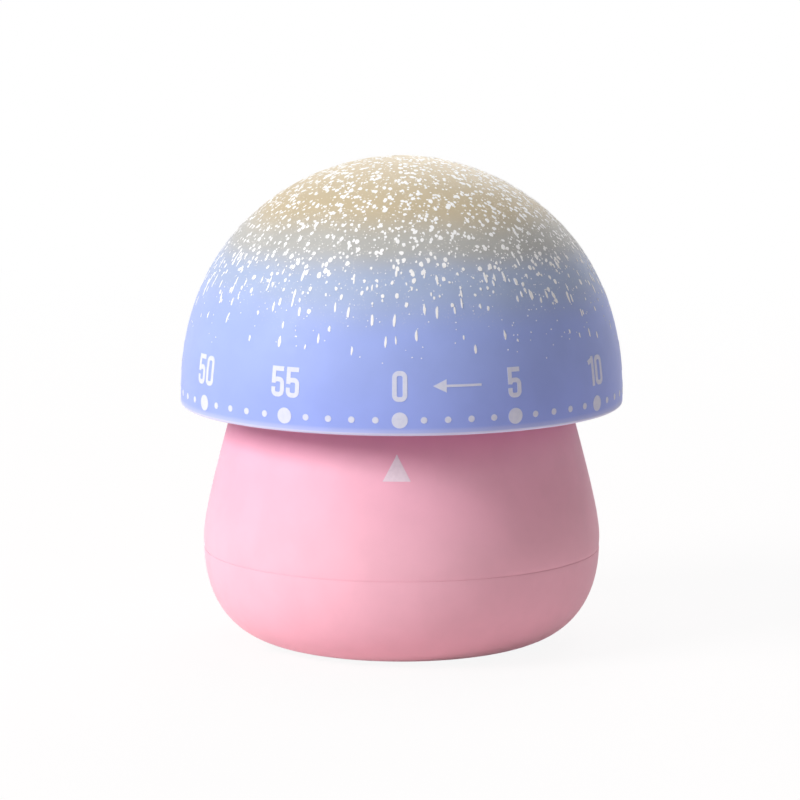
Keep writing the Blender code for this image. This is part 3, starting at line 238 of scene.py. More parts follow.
# The painted highlight on the rim's round lower edge: its height above the rim and its fade.
RIM_HIGHLIGHT_HEIGHT = 0.0014
RIM_HIGHLIGHT_FADE = ((0.0, 0.75), (0.25, 0.70), (0.45, 0.28), (1.0, 0.0))
INK_NOISE = (1400.0, 3.0)
INK_ROUGHNESS = (0.48, 0.62)
INK_ROUGH_NOISE = (900.0, 2.0)
INK_GRAIN = (6000.0, 0.08, 0.00003)
GRAIN_DETAIL = 3.0
PATINA_NOISE = (220.0, 4.0)
PATINA_LOW = 0.35
MARK_DETAIL = 5.0
MARK_STRENGTH = 0.15
MARK_DEPTH = 0.00002
# By slot: name, colour, dark colour, roughness, scale of the tool marks and their stretch along Z
METALS = {
    "brass": ("brass_stamped", (222, 184, 112), (196, 152, 84), (0.24, 0.42), 900.0, 6.0),
    "steel": ("steel_turned", (204, 204, 208), (176, 177, 182), (0.20, 0.40), 1200.0, 8.0),
    "spring_steel": ("spring_steel_blued", (120, 126, 150), (92, 96, 116), (0.22, 0.38),
                     800.0, 10.0),
    "bell_metal": ("bell_nickel", (226, 224, 216), (206, 203, 194), (0.10, 0.22), 600.0, 5.0),
}

# Floor and light
WHITE = (1.0, 1.0, 1.0, 1.0)
FLOOR_SIZE = 24.0
FLOOR_NEAR = 0.08
FLOOR_FAR = 0.50
FLOOR_GLOW = 0.91
FLOOR_ROUGHNESS = 0.9
FLOOR_GLOSS = 0.1
PAPER_NOISE = (30.0, 2.0)
PAPER_DARK = (0.95, 0.84, 0.83, 1.0)
PAPER_PALE = (0.97, 0.86, 0.85, 1.0)
WORLD_STRENGTH = 0.115
WORLD_TINT = (0.96, 0.95, 0.98, 1.0)
LAMP_TARGET = (0.0, 0.0, 0.04)
# Name, place, width and power
SOFTBOXES = (("key", (-0.95, -0.55, 0.66), 0.55, 14.9),
             ("top", (0.05, 0.25, 1.25), 0.9, 6.5),
             ("back", (0.25, 1.10, 0.55), 0.7, 4.5))

# Camera, solved from the ring of printed minutes
CAMERA_DISTANCE = 0.642
CAMERA_ELEVATION = math.radians(8.46)
CAMERA_AZIMUTH = math.radians(0.5)
CAMERA_REACH = 100.0
FOCAL_PIXELS = 4046
IMAGE_PIXELS = 800
AIM_DROP_PIXELS = 13.8
AIM_LEFT_PIXELS = 1.7
SENSOR_WIDTH = 36.0


def polar(radius, degrees):
    angle = math.radians(degrees)
    return radius * math.cos(angle), radius * math.sin(angle)


def spaced(first, last, count):
    return [first + (last - first) * step / count for step in range(count + 1)]


def arc(centre, radius, start, end, points):
    return [(centre[0] + radius * math.cos(turn), centre[1] + radius * math.sin(turn))
            for turn in spaced(start, end, points)]


# Meshes
def new_object(name, mesh):
    thing = bpy.data.objects.new(name, mesh)
    bpy.context.scene.collection.objects.link(thing)
    return thing


def mesh_from(name, verts, faces):
    mesh = bpy.data.meshes.new(name)
    mesh.from_pydata([tuple(vert) for vert in verts], [], faces)
    shape = bmesh.new()
    shape.from_mesh(mesh)
    bmesh.ops.recalc_face_normals(shape, faces=shape.faces)
    shape.to_mesh(mesh)
    shape.free()
    return mesh


def smooth(thing):
    thing.data.shade_smooth()
    thing.data.set_sharp_from_angle(angle=SMOOTH_ANGLE)
    return thing


def turned(name, profile, steps=SHELL_STEPS):
    """Turn a profile of (radius, height), from axis to axis, about Z."""
    verts, rings = [], []
    for radius, height in profile:
        if radius < ON_AXIS:
            rings.append([len(verts)])
            verts.append((0.0, 0.0, height))
            continue
        rings.append(list(range(len(verts), len(verts) + steps)))
        verts += [(radius * math.cos(turn), radius * math.sin(turn), height)
                  for turn in spaced(0.0, 2 * math.pi, steps)[:-1]]
    faces = []
    for upper, lower in zip(rings, rings[1:]):
        for step in range(steps):
            following = (step + 1) % steps
            if len(upper) == 1:
                faces.append((upper[0], lower[step], lower[following]))
            elif len(lower) == 1:
                faces.append((upper[step], lower[0], upper[following]))
            else:
                faces.append((upper[step], lower[step], lower[following], upper[following]))
    return new_object(name, mesh_from(name, verts, faces))


def rod(place, bottom, top, radius):
    profile = [(0.0, top), (radius, top), (radius, bottom), (0.0, bottom)]
    tool = turned("tool", profile, ROD_STEPS)
    tool.data.transform(Matrix.Translation((*place, 0.0)))
    return tool


def block(size, centre, degrees):
    shape = bmesh.new()
    bmesh.ops.create_cube(shape, size=1.0, matrix=Matrix.Diagonal((*size, 1.0)))
    mesh = bpy.data.meshes.new("tool")
    shape.to_mesh(mesh)
    shape.free()
    turn = Matrix.Rotation(math.radians(degrees), 4, "Z")
    mesh.transform(Matrix.Translation(centre) @ turn)
    return new_object("tool", mesh)


def carve(target, tools, operation="DIFFERENCE"):
    """Cut or join with tools, one after the other, and drop them."""
    for tool in tools:
        boolean = target.modifiers.new("carve", "BOOLEAN")
        boolean.operation = operation
        boolean.solver = "EXACT"
        boolean.object = tool
    bpy.context.view_layer.update()
    evaluated = target.evaluated_get(bpy.context.evaluated_depsgraph_get())
    carved = bpy.data.meshes.new_from_object(evaluated)
    carved.name = target.name
    target.modifiers.clear()
    target.data = carved
    for tool in tools:
        bpy.data.objects.remove(tool, do_unlink=True)
    return target


# Shells
def dome_radius(height):
    share = (height - WIDEST_Z) / (CROWN_Z - WIDEST_Z)
    return CAP_RADIUS * max(1 - share ** CROWN_POWER, 0.0) ** (1 / SIDE_POWER)


def quarter(points, last=math.pi / 2):
    return [(max(math.cos(angle), 0.0) ** (2 / SIDE_POWER), math.sin(angle) ** (2 / CROWN_POWER))
            for angle in spaced(0.0, last, points)]


def make_cap_skin():
    inner_radius = CAP_RADIUS - CAP_WALL
    ring_radius = SOCKET_RADIUS + SOCKET_WALL
    outer = [(CAP_RADIUS * across, WIDEST_Z + (CROWN_Z - WIDEST_Z) * up)
             for across, up in quarter(DOME_POINTS)]
    outer[-1] = (0.0, CROWN_Z)
    last = math.acos((ring_radius / inner_radius) ** (SIDE_POWER / 2))
    inner = [(inner_radius * across, WIDEST_Z + (CROWN_Z - CAP_WALL - WIDEST_Z) * up)
             for across, up in quarter(DOME_POINTS // 2, last)]
    outer_round = arc((CAP_RADIUS - RIM_ROUND, WIDEST_Z), RIM_ROUND,
                      0.0, -math.pi / 2, ROUND_POINTS)
    inner_round = arc((inner_radius + RIM_ROUND, WIDEST_Z), RIM_ROUND,
                      -math.pi / 2, -math.pi, ROUND_POINTS)
    ceiling = inner[-1][1]
    socket = [(ring_radius, ceiling - SOCKET_DEPTH), (SOCKET_RADIUS, ceiling - SOCKET_DEPTH),
              (SOCKET_RADIUS, ceiling), (0.0, ceiling)]
    profile = outer[::-1] + outer_round[1:] + inner_round[:-1] + inner + socket
    return smooth(turned("cap_skin", profile))


def base_radius(height):
    share = (height - BELLY_Z) / (DECK_Z - BELLY_Z)
    drawn_in = share ** 2 * (1 + NECK_SOFTNESS) / (abs(share) + NECK_SOFTNESS)
    return BELLY_RADIUS - (BELLY_RADIUS - NECK_RADIUS) * drawn_in


def make_base_skin():
    low = SEAM_Z + SEAM_GAP / 2
    top = DECK_Z - DECK_ROUND
    edge = arc((NECK_RADIUS - DECK_ROUND, top), DECK_ROUND, math.pi / 2, 0.0, ROUND_POINTS)
    flank = [(base_radius(height), height)
             for height in spaced(top, low + SEAM_EDGE, FLANK_POINTS)]
    shell = turned("base_skin", [(0.0, DECK_Z)] + edge + flank[1:]
                   + [(base_radius(low) - SEAM_SET, low), (0.0, low)])
    below = low - BASE_WALL
    inner = [(base_radius(height) - BASE_WALL, height)
             for height in spaced(DECK_UNDERSIDE, low, FLANK_POINTS // 4)]
    cavity = turned("cavity", [(0.0, DECK_UNDERSIDE)] + inner
                    + [(inner[-1][0], below), (0.0, below)])
    boss_bottom = DECK_UNDERSIDE - BOSS_DROP
    pillars = [polar(PILLAR_CIRCLE, degrees) for degrees in PILLAR_ANGLES]
    screws = [polar(COVER_SCREW_CIRCLE, degrees) for degrees in COVER_SCREW_ANGLES]
    kept = [rod(place, boss_bottom, DECK_Z, BOSS_RADIUS) for place in pillars]
    boss_top = SEAM_Z + COVER_BOSS_HEIGHT
    gusset_bottom = SEAM_Z + LIP_HEIGHT + CLEARANCE
    gusset_height = boss_top - LIP_ROOT - gusset_bottom
    gusset_length = BELLY_RADIUS - COVER_SCREW_CIRCLE
    for degrees, place in zip(COVER_SCREW_ANGLES, screws):
        middle = polar(COVER_SCREW_CIRCLE + gusset_length / 2, degrees)
        gusset = block((gusset_length, GUSSET_THICKNESS, gusset_height),
                       (*middle, gusset_bottom + gusset_height / 2), degrees)
        boss = rod(place, below - BASE_WALL, boss_top, COVER_BOSS_RADIUS)
        kept.append(carve(boss, [gusset], "UNION"))
    carve(cavity, kept)
    seat = DECK_Z - SCREW_HEAD_HEIGHT - CLEARANCE
    above = DECK_Z + CLEARANCE
    tools = [cavity, rod((0.0, 0.0), DECK_UNDERSIDE - CLEARANCE, above, BUSH_HOLE)]
    for place in pillars:
        tools.append(rod(place, boss_bottom - CLEARANCE, above, SCREW_RADIUS + SEAT_GAP))
        tools.append(rod(place, seat, above, SCREW_HEAD_RADIUS + CLEARANCE))
    for place in screws:
        tools.append(rod(place, below, SEAM_Z + SCREW_GRIP + CLEARANCE, SCREW_RADIUS + SEAT_GAP))
    return smooth(carve(shell, tools))


def underside(belly, floor, first_z, points):
    rise = 1 - (first_z - floor) / (BELLY_Z - floor)
    first = math.asin(rise ** (UNDERSIDE_POWER / 2))
    profile = []
    for angle in spaced(first, math.pi / 2, points):
        across = max(math.cos(angle), 0.0) ** (2 / UNDERSIDE_POWER)
        down = math.sin(angle) ** (2 / UNDERSIDE_POWER)
        profile.append((FOOT_RADIUS + (belly - FOOT_RADIUS) * across,
                        BELLY_Z - (BELLY_Z - floor) * down))
    return profile


def make_cover_skin():
    high = SEAM_Z - SEAM_GAP / 2
    lip_top = SEAM_Z + LIP_HEIGHT
    lip_outer = min(base_radius(SEAM_Z), base_radius(lip_top)) - BASE_WALL - CLEARANCE
    lip_inner = lip_outer - LIP_THICKNESS
    ring_inner = FOOT_RADIUS - FOOT_RING_WIDTH
    outside = underside(BELLY_RADIUS, 0.0, high - SEAM_EDGE, UNDERSIDE_POINTS)
    cover = turned("cover_skin", [(0.0, lip_top), (lip_outer, lip_top), (lip_outer, high),
                                  (outside[0][0] - SEAM_SET, high)] + outside
                   + [(ring_inner, 0.0), (ring_inner, FOOT_RECESS), (0.0, FOOT_RECESS)])
    inside = underside(BELLY_RADIUS - BASE_WALL, COVER_FLOOR, SEAM_Z, UNDERSIDE_POINTS // 2)
    chamfer = SEAM_Z - LIP_ROOT
    lower = [point for point in inside
             if point[0] < lip_inner or point[1] < chamfer - LIP_ROOT]
    cavity = turned("cavity", [(0.0, lip_top + CLEARANCE), (lip_inner, lip_top + CLEARANCE),
                               (lip_inner, chamfer)] + lower + [(0.0, COVER_FLOOR)])
    places = [polar(COVER_SCREW_CIRCLE, degrees) for degrees in COVER_SCREW_ANGLES]
    carve(cavity, [rod(place, -COVER_FLOOR, high, COVER_BOSS_RADIUS) for place in places])
    tools = [cavity]
    for place in places:
        tools.append(rod(place, -COVER_FLOOR, COVER_SCREW_SEAT, SCREW_HEAD_RADIUS + CLEARANCE))
        tools.append(rod(place, 0.0, SEAM_Z, SCREW_RADIUS + SEAT_GAP))
    return smooth(carve(cover, tools))


# Printing, drawn flat in metres and then laid on a shell
def on_dome(points):
    """Points and outward normals of the dome nearest to the given points."""
    points = np.array(points, float)
    height = CROWN_Z - WIDEST_Z
    for _ in range(SETTLE_ROUNDS):
        across = np.maximum(np.hypot(points[:, 0], points[:, 1]), SETTLE_RADIUS)
        up = np.maximum((points[:, 2] - WIDEST_Z) / height, SETTLE_RISE)
        miss = (across / CAP_RADIUS) ** SIDE_POWER + up ** CROWN_POWER - 1
        slope = SIDE_POWER / CAP_RADIUS * (across / CAP_RADIUS) ** (SIDE_POWER - 1)
        rise = CROWN_POWER / height * up ** (CROWN_POWER - 1)
        gradient = np.stack([slope * points[:, 0] / across, slope * points[:, 1] / across, rise], 1)
        size = np.sum(gradient ** 2, 1)
        points = points - gradient * (miss / size)[:, None]
    return points, gradient / np.sqrt(size)[:, None]


def on_base(points):
    """Points and outward normals of the base's flank at the given heights."""
    points = np.array(points, float)
    turns = np.arctan2(points[:, 1], points[:, 0])
    found, normals = [], []
    for turn, height in zip(turns, points[:, 2]):
        radius = base_radius(height)
        ahead, behind = base_radius(height + SLOPE_STEP), base_radius(height - SLOPE_STEP)
        normal = np.array([math.cos(turn), math.sin(turn), -(ahead - behind) / (2 * SLOPE_STEP)])
        found.append((radius * math.cos(turn), radius * math.sin(turn), height))
        normals.append(normal / np.linalg.norm(normal))
    return np.array(found), np.array(normals)


def around(radius, turn, height):
    """A place seen from the front: the turn runs from -Y towards +X."""
    return radius * math.sin(turn), -radius * math.cos(turn), height


def laid(name, patches, settle):
    """One object of thin closed patches: each is its points, faces and how proud it stands."""
    verts, faces = [], []
    for points, quads, proud in patches:
        places, normals = settle(points)
        start, count = len(verts), len(places)
        verts += list(places + normals * proud) + list(places - normals * PRINT_DEPTH)
        sides = {}
        for quad in quads:
            faces.append(tuple(start + index for index in quad))
            faces.append(tuple(start + count + index for index in reversed(quad)))
            for one, two in zip(quad, quad[1:] + quad[:1]):
                sides[(one, two)] = True
        for one, two in sides:
            if (two, one) not in sides:
                faces.append((start + two, start + one, start + count + one, start + count + two))
    return new_object(name, mesh_from(name, verts, faces))


def disc(radius, points):
    verts = [(0.0, 0.0)] + arc((0.0, 0.0), radius, 0.0, 2 * math.pi, points)[:-1]
    return verts, [(0, 1 + step, 1 + (step + 1) % points) for step in range(points)]


def ribbon(path, width, closed=False):
    """A stroke of even width along a path, with mitred corners and flat ends."""
    count = len(path)
    left, right = [], []
    for index in range(count):
        before = path[index - 1] if closed or index else None
        after = path[(index + 1) % count] if closed or index < count - 1 else None
        here = Vector(path[index])
        into = (here - Vector(before)).normalized() if before else None
        out = (Vector(after) - here).normalized() if after else None
        into, out = into or out, out or into
        normal_in, normal_out = Vector((-into.y, into.x)), Vector((-out.y, out.x))
        middle = (normal_in + normal_out).normalized()
        reach = width / 2 / max(middle.dot(normal_in), MITRE_LIMIT)
        left.append(tuple(here + middle * reach))
        right.append(tuple(here - middle * reach))
    quads = []
    for index in range(count if closed else count - 1):
        following = (index + 1) % count
        quads.append((index, count + index, count + following, following))
    return left + right, quads


def even(path):
    """The same path with no stretch much longer than a step."""
    fine = []
    for (x0, y0), (x1, y1) in zip(path, path[1:]):
        count = max(1, round(math.hypot(x1 - x0, y1 - y0) / PATH_STEP))
        fine += [(x0 + (x1 - x0) * k / count, y0 + (y1 - y0) * k / count) for k in range(count)]
    return fine + [path[-1]]


def digit_strokes():
    """Centre lines of plain narrow digits, as (path, closed)."""
    side = (DIGIT_WIDTH - STROKE) / 2
    top = (DIGIT_HEIGHT - STROKE) / 2
    edge = DIGIT_HEIGHT / 2
    bend = top - DIGIT_CORNER
    shoulder = side - DIGIT_CORNER
    hook = HOOK * DIGIT_HEIGHT
    waist = WAIST * DIGIT_HEIGHT
    corner = WAIST_CORNER * side
    tongue = THREE_TONGUE * side
    bar = FOUR_BAR * DIGIT_HEIGHT
    post = FOUR_POST * side
    swell = FIVE_SWELL * DIGIT_HEIGHT - DIGIT_CORNER
    stem = ONE_WIDTH / 2 - STROKE / 2

    def crown(height):
        """Both upper corners, over straight sides that end at a height."""
        return (arc((-shoulder, height), DIGIT_CORNER, math.pi, math.pi / 2, CORNER_POINTS)
                + arc((shoulder, height), DIGIT_CORNER, math.pi / 2, 0.0, CORNER_POINTS))

    bowl = (arc((shoulder, -bend), DIGIT_CORNER, 0.0, -math.pi / 2, CORNER_POINTS)
            + arc((-shoulder, -bend), DIGIT_CORNER, -math.pi / 2, -math.pi, CORNER_POINTS))
    waist_in = arc((side - corner, waist + corner), corner, 0.0, -math.pi / 2, WAIST_POINTS)
    waist_out = arc((side - corner, waist - corner), corner, math.pi / 2, 0.0, WAIST_POINTS)
    ring = (even([(side, -bend), (side, bend)]) + crown(bend)[::-1][1:]
            + even([(-side, bend), (-side, -bend)])[1:] + bowl[::-1][1:-1])
    sweep = [(across * side, up * DIGIT_HEIGHT) for across, up in TWO_SWEEP]
    two = [(-side, hook)] + crown(bend) + sweep + [(-side, -top), (side + STROKE / 2, -top)]
    three_up = ([(-side, hook)] + crown(bend) + [(side, waist + 2 * corner)] + waist_in
                + [(tongue, waist)])
    three_low = [(tongue, waist)] + waist_out + bowl + [(-side, -hook)]
    five_low = crown(swell) + bowl + [(-side, -hook)]
    return {
        "0": [(ring, True)],
        "1": [([(stem, -edge), (stem, edge)], False),
              ([(stem + STROKE / 4, top), (-stem - STROKE / 3, ONE_FLAG * DIGIT_HEIGHT)], False)],
        "2": [(two, False)],
        "3": [(three_up, False), (three_low, False)],
        "4": [([(post, -edge), (post, edge)], False),
              ([(-side - STROKE / 2, bar), (side + STROKE / 2, bar)], False),
              ([(post - STROKE / 4, edge - STROKE / 4), (-side, bar)], False)],
        "5": [([(side + STROKE / 4, top), (-side, top), (-side, swell)], False),
              (five_low, False)],
    }


def to_cap(points, turn, height):
    return [around(dome_radius(height + v), turn + u / CAP_RADIUS, height + v) for u, v in points]


def make_dots():
    patches = []
    for minute in range(MINUTES):
        major = minute % MAJOR_EVERY == 0
        points, faces = disc(MAJOR_DOT, MAJOR_POINTS) if major else disc(MINOR_DOT, MINOR_POINTS)
        turn = 2 * math.pi * minute / MINUTES
        patches.append((to_cap(points, turn, RING_Z), faces, PRINT_PROUD))
    return laid("minute_dots", patches, on_dome)


def make_numerals():
    strokes = digit_strokes()
    patches = []
    for minute in range(0, MINUTES, MAJOR_EVERY):
        turn = 2 * math.pi * minute / MINUTES
        text = str(minute)
        widths = [ONE_WIDTH if digit == "1" else DIGIT_WIDTH for digit in text]
        left = -(sum(widths) + DIGIT_GAP * (len(text) - 1)) / 2
        for digit, width in zip(text, widths):
            centre = left + width / 2
            left += width + DIGIT_GAP
            for layer, (path, closed) in enumerate(strokes[digit]):
                points, quads = ribbon(path if closed else even(path), STROKE, closed)
                moved = [(u + centre, v) for u, v in points]
                patches.append((to_cap(moved, turn, LABEL_Z), quads,
                                PRINT_PROUD * (1 + PRINT_LAYER * layer)))
    return laid("minute_numerals", patches, on_dome)


def make_arrow():
    tip, tail = ARROW_TIP * CAP_RADIUS, ARROW_TAIL * CAP_RADIUS
    neck = tip + ARROW_HEAD
    shaft, shaft_quads = ribbon(even([(tail, 0.0), (neck - ARROW_SHAFT / 2, 0.0)]), ARROW_SHAFT)
    head = [(tip, 0.0)]
    for share in spaced(0.0, 1.0, ARROW_ROWS)[1:]:
        along, half = tip + ARROW_HEAD * share, ARROW_HALF * share
        head += [(along, -half), (along, half)]
    faces = [(0, 1, 2)]
    for one in range(1, 2 * ARROW_ROWS - 1, 2):
        faces.append((one, one + 2, one + 3, one + 1))
    patches = [(to_cap(shaft, 0.0, LABEL_Z), shaft_quads, PRINT_PROUD),
               (to_cap(head, 0.0, LABEL_Z), faces, PRINT_PROUD * (1 + PRINT_LAYER))]
    return laid("turn_arrow", patches, on_dome)


def make_pointer():
    points = []
    for share in spaced(0.0, 1.0, POINTER_ROWS):
        height = POINTER_APEX + (POINTER_FOOT - POINTER_APEX) * share
        half = max(POINTER_WIDTH / 2 * share, POINTER_BLUNT)
        radius = base_radius(height)
        points += [around(radius, POINTER_TURN + u / radius, height)
                   for u in spaced(-half, half, POINTER_COLUMNS)]
    faces = []
    for row in range(POINTER_ROWS):
        for column in range(POINTER_COLUMNS):
            one = row * (POINTER_COLUMNS + 1) + column
            two = one + POINTER_COLUMNS + 1
            faces.append((one, two, two + 1, one + 1))
    return laid("pointer_mark", [(points, faces, PRINT_PROUD)], on_base)


# Paint flecks, spattered from above
def fleck_outline(dice, length, width, corners):
    """An uneven round blob, longer down the dome than across it."""
    waves = [(order, dice.uniform(0.0, FLECK_UNEVEN / order), dice.uniform(0.0, 2 * math.pi))
             for order in FLECK_WAVES]
    points = []
    for turn in spaced(0.0, 2 * math.pi, corners)[:-1]:
        swell = 1 + sum(size * math.cos(order * turn + phase) for order, size, phase in waves)
        points.append((width / 2 * math.cos(turn) * swell, length / 2 * math.sin(turn) * swell))
    return points


def fleck(dice, share, length, width, corners):
    """A fleck somewhere round the dome, at a share of the way up."""
    height = FLECK_LOW_Z + (CROWN_Z - FLECK_LOW_Z) * share
    turn = dice.uniform(0.0, 2 * math.pi)
    place = Vector(around(dome_radius(height), turn, height))
    _, normals = on_dome([place])
    across = Vector((math.cos(turn), math.sin(turn), 0.0))
    down = Vector(normals[0]).cross(across)
    outline = fleck_outline(dice, length, width, corners)
    points = [tuple(place)] + [tuple(place + across * u + down * v) for u, v in outline]
    faces = [(0, 1 + k, 1 + (k + 1) % corners) for k in range(corners)]
    return points, faces, FLECK_PROUD * dice.uniform(*FLECK_PROUD_SHARES)


def dense_share(dice):
    """A place for a fleck: they thin out from the fade's high end to its low end."""
    while True:
        share = dice.uniform(DENSE_FADE_LOW, FLECK_HIGHEST)
        fade = (share - DENSE_FADE_LOW) / (DENSE_FADE_HIGH - DENSE_FADE_LOW)
        if dice.random() <= fade ** DENSE_FADE_POWER:
            return share


def make_flecks():
    dice = random.Random(FLECK_SEED)
    patches = []
    for _ in range(DENSE_FLECKS):
        share = dense_share(dice)
        size = min(DENSE_SIZE * math.exp(dice.gauss(0.0, DENSE_SPREAD)), DENSE_LARGEST)
        stretch = dice.uniform(*DENSE_STRETCH)
        stretch += max(0.0, DENSE_RUN_BELOW - share) * dice.uniform(0.0, DENSE_RUN)
        patches.append(fleck(dice, share, size * stretch, size, DENSE_CORNERS))
    for _ in range(FINE_FLECKS):
        share = min(dice.betavariate(*FINE_BETA), FLECK_HIGHEST)
        size = dice.uniform(*FINE_SIZES)
        patches.append(fleck(dice, share, size * FINE_STRETCH, size, FINE_CORNERS))
    for _ in range(DRIPS):
        share = min(DRIP_LOWEST + abs(dice.gauss(DRIP_MIDDLE, DRIP_SPREAD)), DRIP_HIGHEST)
        width = dice.uniform(*DRIP_WIDTHS)
        length = width * dice.uniform(*DRIP_STRETCH)
        patches.append(fleck(dice, share, length, width, DRIP_CORNERS))
    return laid("paint_flecks", patches, on_dome)


# Materials
def linear(red, green, blue):
    """A screen colour of 255 as linear light, by the sRGB curve."""
    def channel(value):
        share = value / 255
        return share / 12.92 if share <= 0.04045 else ((share + 0.055) / 1.055) ** 2.4
    return channel(red), channel(green), channel(blue), 1.0


def grey(value):
    return value, value, value, 1.0


class Graph:
    """A node tree, with short ways to add the nodes in use here."""

    def __init__(self, tree):
        self.nodes, self.links = tree.nodes, tree.links

    def feed(self, socket, value):
        """Link a socket to an output, or set it to a number or colour."""
        if hasattr(value, "links"):
            self.links.new(value, socket)
        else:
            socket.default_value = value

    def place(self):
        return self.nodes.new("ShaderNodeTexCoord").outputs["Object"]

    def noise(self, place, scale, detail):
        node = self.nodes.new("ShaderNodeTexNoise")
        node.inputs["Scale"].default_value = scale
        node.inputs["Detail"].default_value = detail
        self.links.new(place, node.inputs["Vector"])
        return node.outputs["Fac"]

    def spread(self, value, low, high, to_low, to_high):
        """A value stretched from one range to another."""
        node = self.nodes.new("ShaderNodeMapRange")
        for socket, number in zip(("From Min", "From Max", "To Min", "To Max"),
                                  (low, high, to_low, to_high)):
            node.inputs[socket].default_value = number
        self.links.new(value, node.inputs["Value"])
        return node.outputs["Result"]

    def mottle(self, place, scale, detail, to_low=0.0, to_high=1.0):
        """Noise stretched to fill a range."""
        return self.spread(self.noise(place, scale, detail), NOISE_LOW, NOISE_HIGH, to_low, to_high)

    def arithmetic(self, operation, first, second):
        node = self.nodes.new("ShaderNodeMath")
        node.operation = operation
        self.feed(node.inputs[0], first)
        self.feed(node.inputs[1], second)
        return node.outputs["Value"]

    def blended(self, factor, first, second, kind="MIX"):
        node = self.nodes.new("ShaderNodeMix")
        node.data_type = "RGBA"
        node.blend_type = kind
        self.feed(node.inputs["Factor"], factor)
        self.feed(node.inputs["A"], first)
        self.feed(node.inputs["B"], second)
        return node.outputs["Result"]

    def ramp(self, value, stops):
        node = self.nodes.new("ShaderNodeValToRGB")
        node.color_ramp.interpolation = "EASE"
        elements = node.color_ramp.elements
        while len(elements) < len(stops):
            elements.new(0.5)
        for element, (position, colour) in zip(elements, stops):
            element.position = position
            element.color = colour
        self.links.new(value, node.inputs["Fac"])
        return node.outputs["Color"]

    def bump(self, shader, height, strength, depth):
        node = self.nodes.new("ShaderNodeBump")
        node.inputs["Strength"].default_value = strength
        node.inputs["Distance"].default_value = depth
        self.links.new(height, node.inputs["Height"])
        self.links.new(node.outputs["Normal"], shader.inputs["Normal"])

    def grain(self, shader, place, scale, strength, depth):
        self.bump(shader, self.noise(place, scale, GRAIN_DETAIL), strength, depth)


def new_material(name):
    material = bpy.data.materials.new(name)
    material.use_nodes = True
    graph = Graph(material.node_tree)
    return material, graph, graph.nodes["Principled BSDF"]


def misted(graph, place, height, colour):
    """A colour under fine drops of spray, thicker towards the crown."""
    cells = graph.nodes.new("ShaderNodeTexVoronoi")
    cells.inputs["Scale"].default_value = MIST_SCALE
    graph.links.new(place, cells.inputs["Vector"])
    spots = graph.spread(cells.outputs["Distance"], *MIST_SPOT, 1.0, 0.0)
    chosen = graph.spread(graph.noise(place, *MIST_NOISE), *MIST_CHOICE, 0.0, 1.0)
    high_up = graph.spread(height, MIST_LOW_Z, MIST_HIGH_Z, 0.0, MIST_COVER)
    cover = graph.arithmetic("MULTIPLY", spots, graph.arithmetic("MULTIPLY", chosen, high_up))
    return graph.blended(cover, colour, linear(*MIST_COLOUR))


def rim_worn(graph, height, colour):
    """A colour with a painted highlight along the rim's round lower edge, fading out above it."""
    above = graph.spread(height, RIM_Z, RIM_Z + RIM_HIGHLIGHT_HEIGHT, 0.0, 1.0)
    rim_highlight_mask = graph.ramp(above, [(position, grey(value)) for position, value in RIM_HIGHLIGHT_FADE])
    return graph.blended(rim_highlight_mask, colour, linear(*RIM_HIGHLIGHT_COLOUR))


def soft_plastic(name, fade, low, high, gloss, sheen, sprayed=False):
    """Soft-touch plastic whose colour fades with height."""
    material, graph, shader = new_material(name)
    place = graph.place()
    split = graph.nodes.new("ShaderNodeSeparateXYZ")
    graph.links.new(place, split.inputs["Vector"])
    height = split.outputs["Z"]
    drift = graph.mottle(place, *DRIFT_NOISE, -DRIFT, DRIFT)
    share = graph.arithmetic("ADD", graph.spread(height, low, high, 0.0, 1.0), drift)
    colour = graph.ramp(share, [(position, linear(*stop)) for position, stop in fade])
    cloud = graph.mottle(place, *CLOUD_NOISE)
    tone = graph.ramp(cloud, ((0.0, grey(CLOUD_DARK)), (1.0, WHITE)))
    colour = graph.blended(1.0, colour, tone, "MULTIPLY")
    if sprayed:
        colour = misted(graph, place, height, colour)
        # A painted highlight along the rim's round lower edge.
        colour = rim_worn(graph, height, colour)
    graph.links.new(colour, shader.inputs["Base Color"])
    rough = graph.mottle(place, *PLASTIC_ROUGH_NOISE, *PLASTIC_ROUGHNESS)
    graph.links.new(rough, shader.inputs["Roughness"])
    shader.inputs["Specular IOR Level"].default_value = gloss
    shader.inputs["Sheen Weight"].default_value = sheen
    shader.inputs["Sheen Roughness"].default_value = SHEEN_ROUGHNESS
    graph.grain(shader, place, *PLASTIC_GRAIN)
    return material


def paint(name, colour, thin):
    """Printing ink or spattered paint, a little thinner in places."""
    material, graph, shader = new_material(name)
    place = graph.place()
    cover = graph.mottle(place, *INK_NOISE)
    tone = graph.ramp(cover, ((0.0, linear(*thin)), (1.0, linear(*colour))))
    graph.links.new(tone, shader.inputs["Base Color"])
    rough = graph.mottle(place, *INK_ROUGH_NOISE, *INK_ROUGHNESS)
    graph.links.new(rough, shader.inputs["Roughness"])
    graph.grain(shader, place, *INK_GRAIN)
    return material


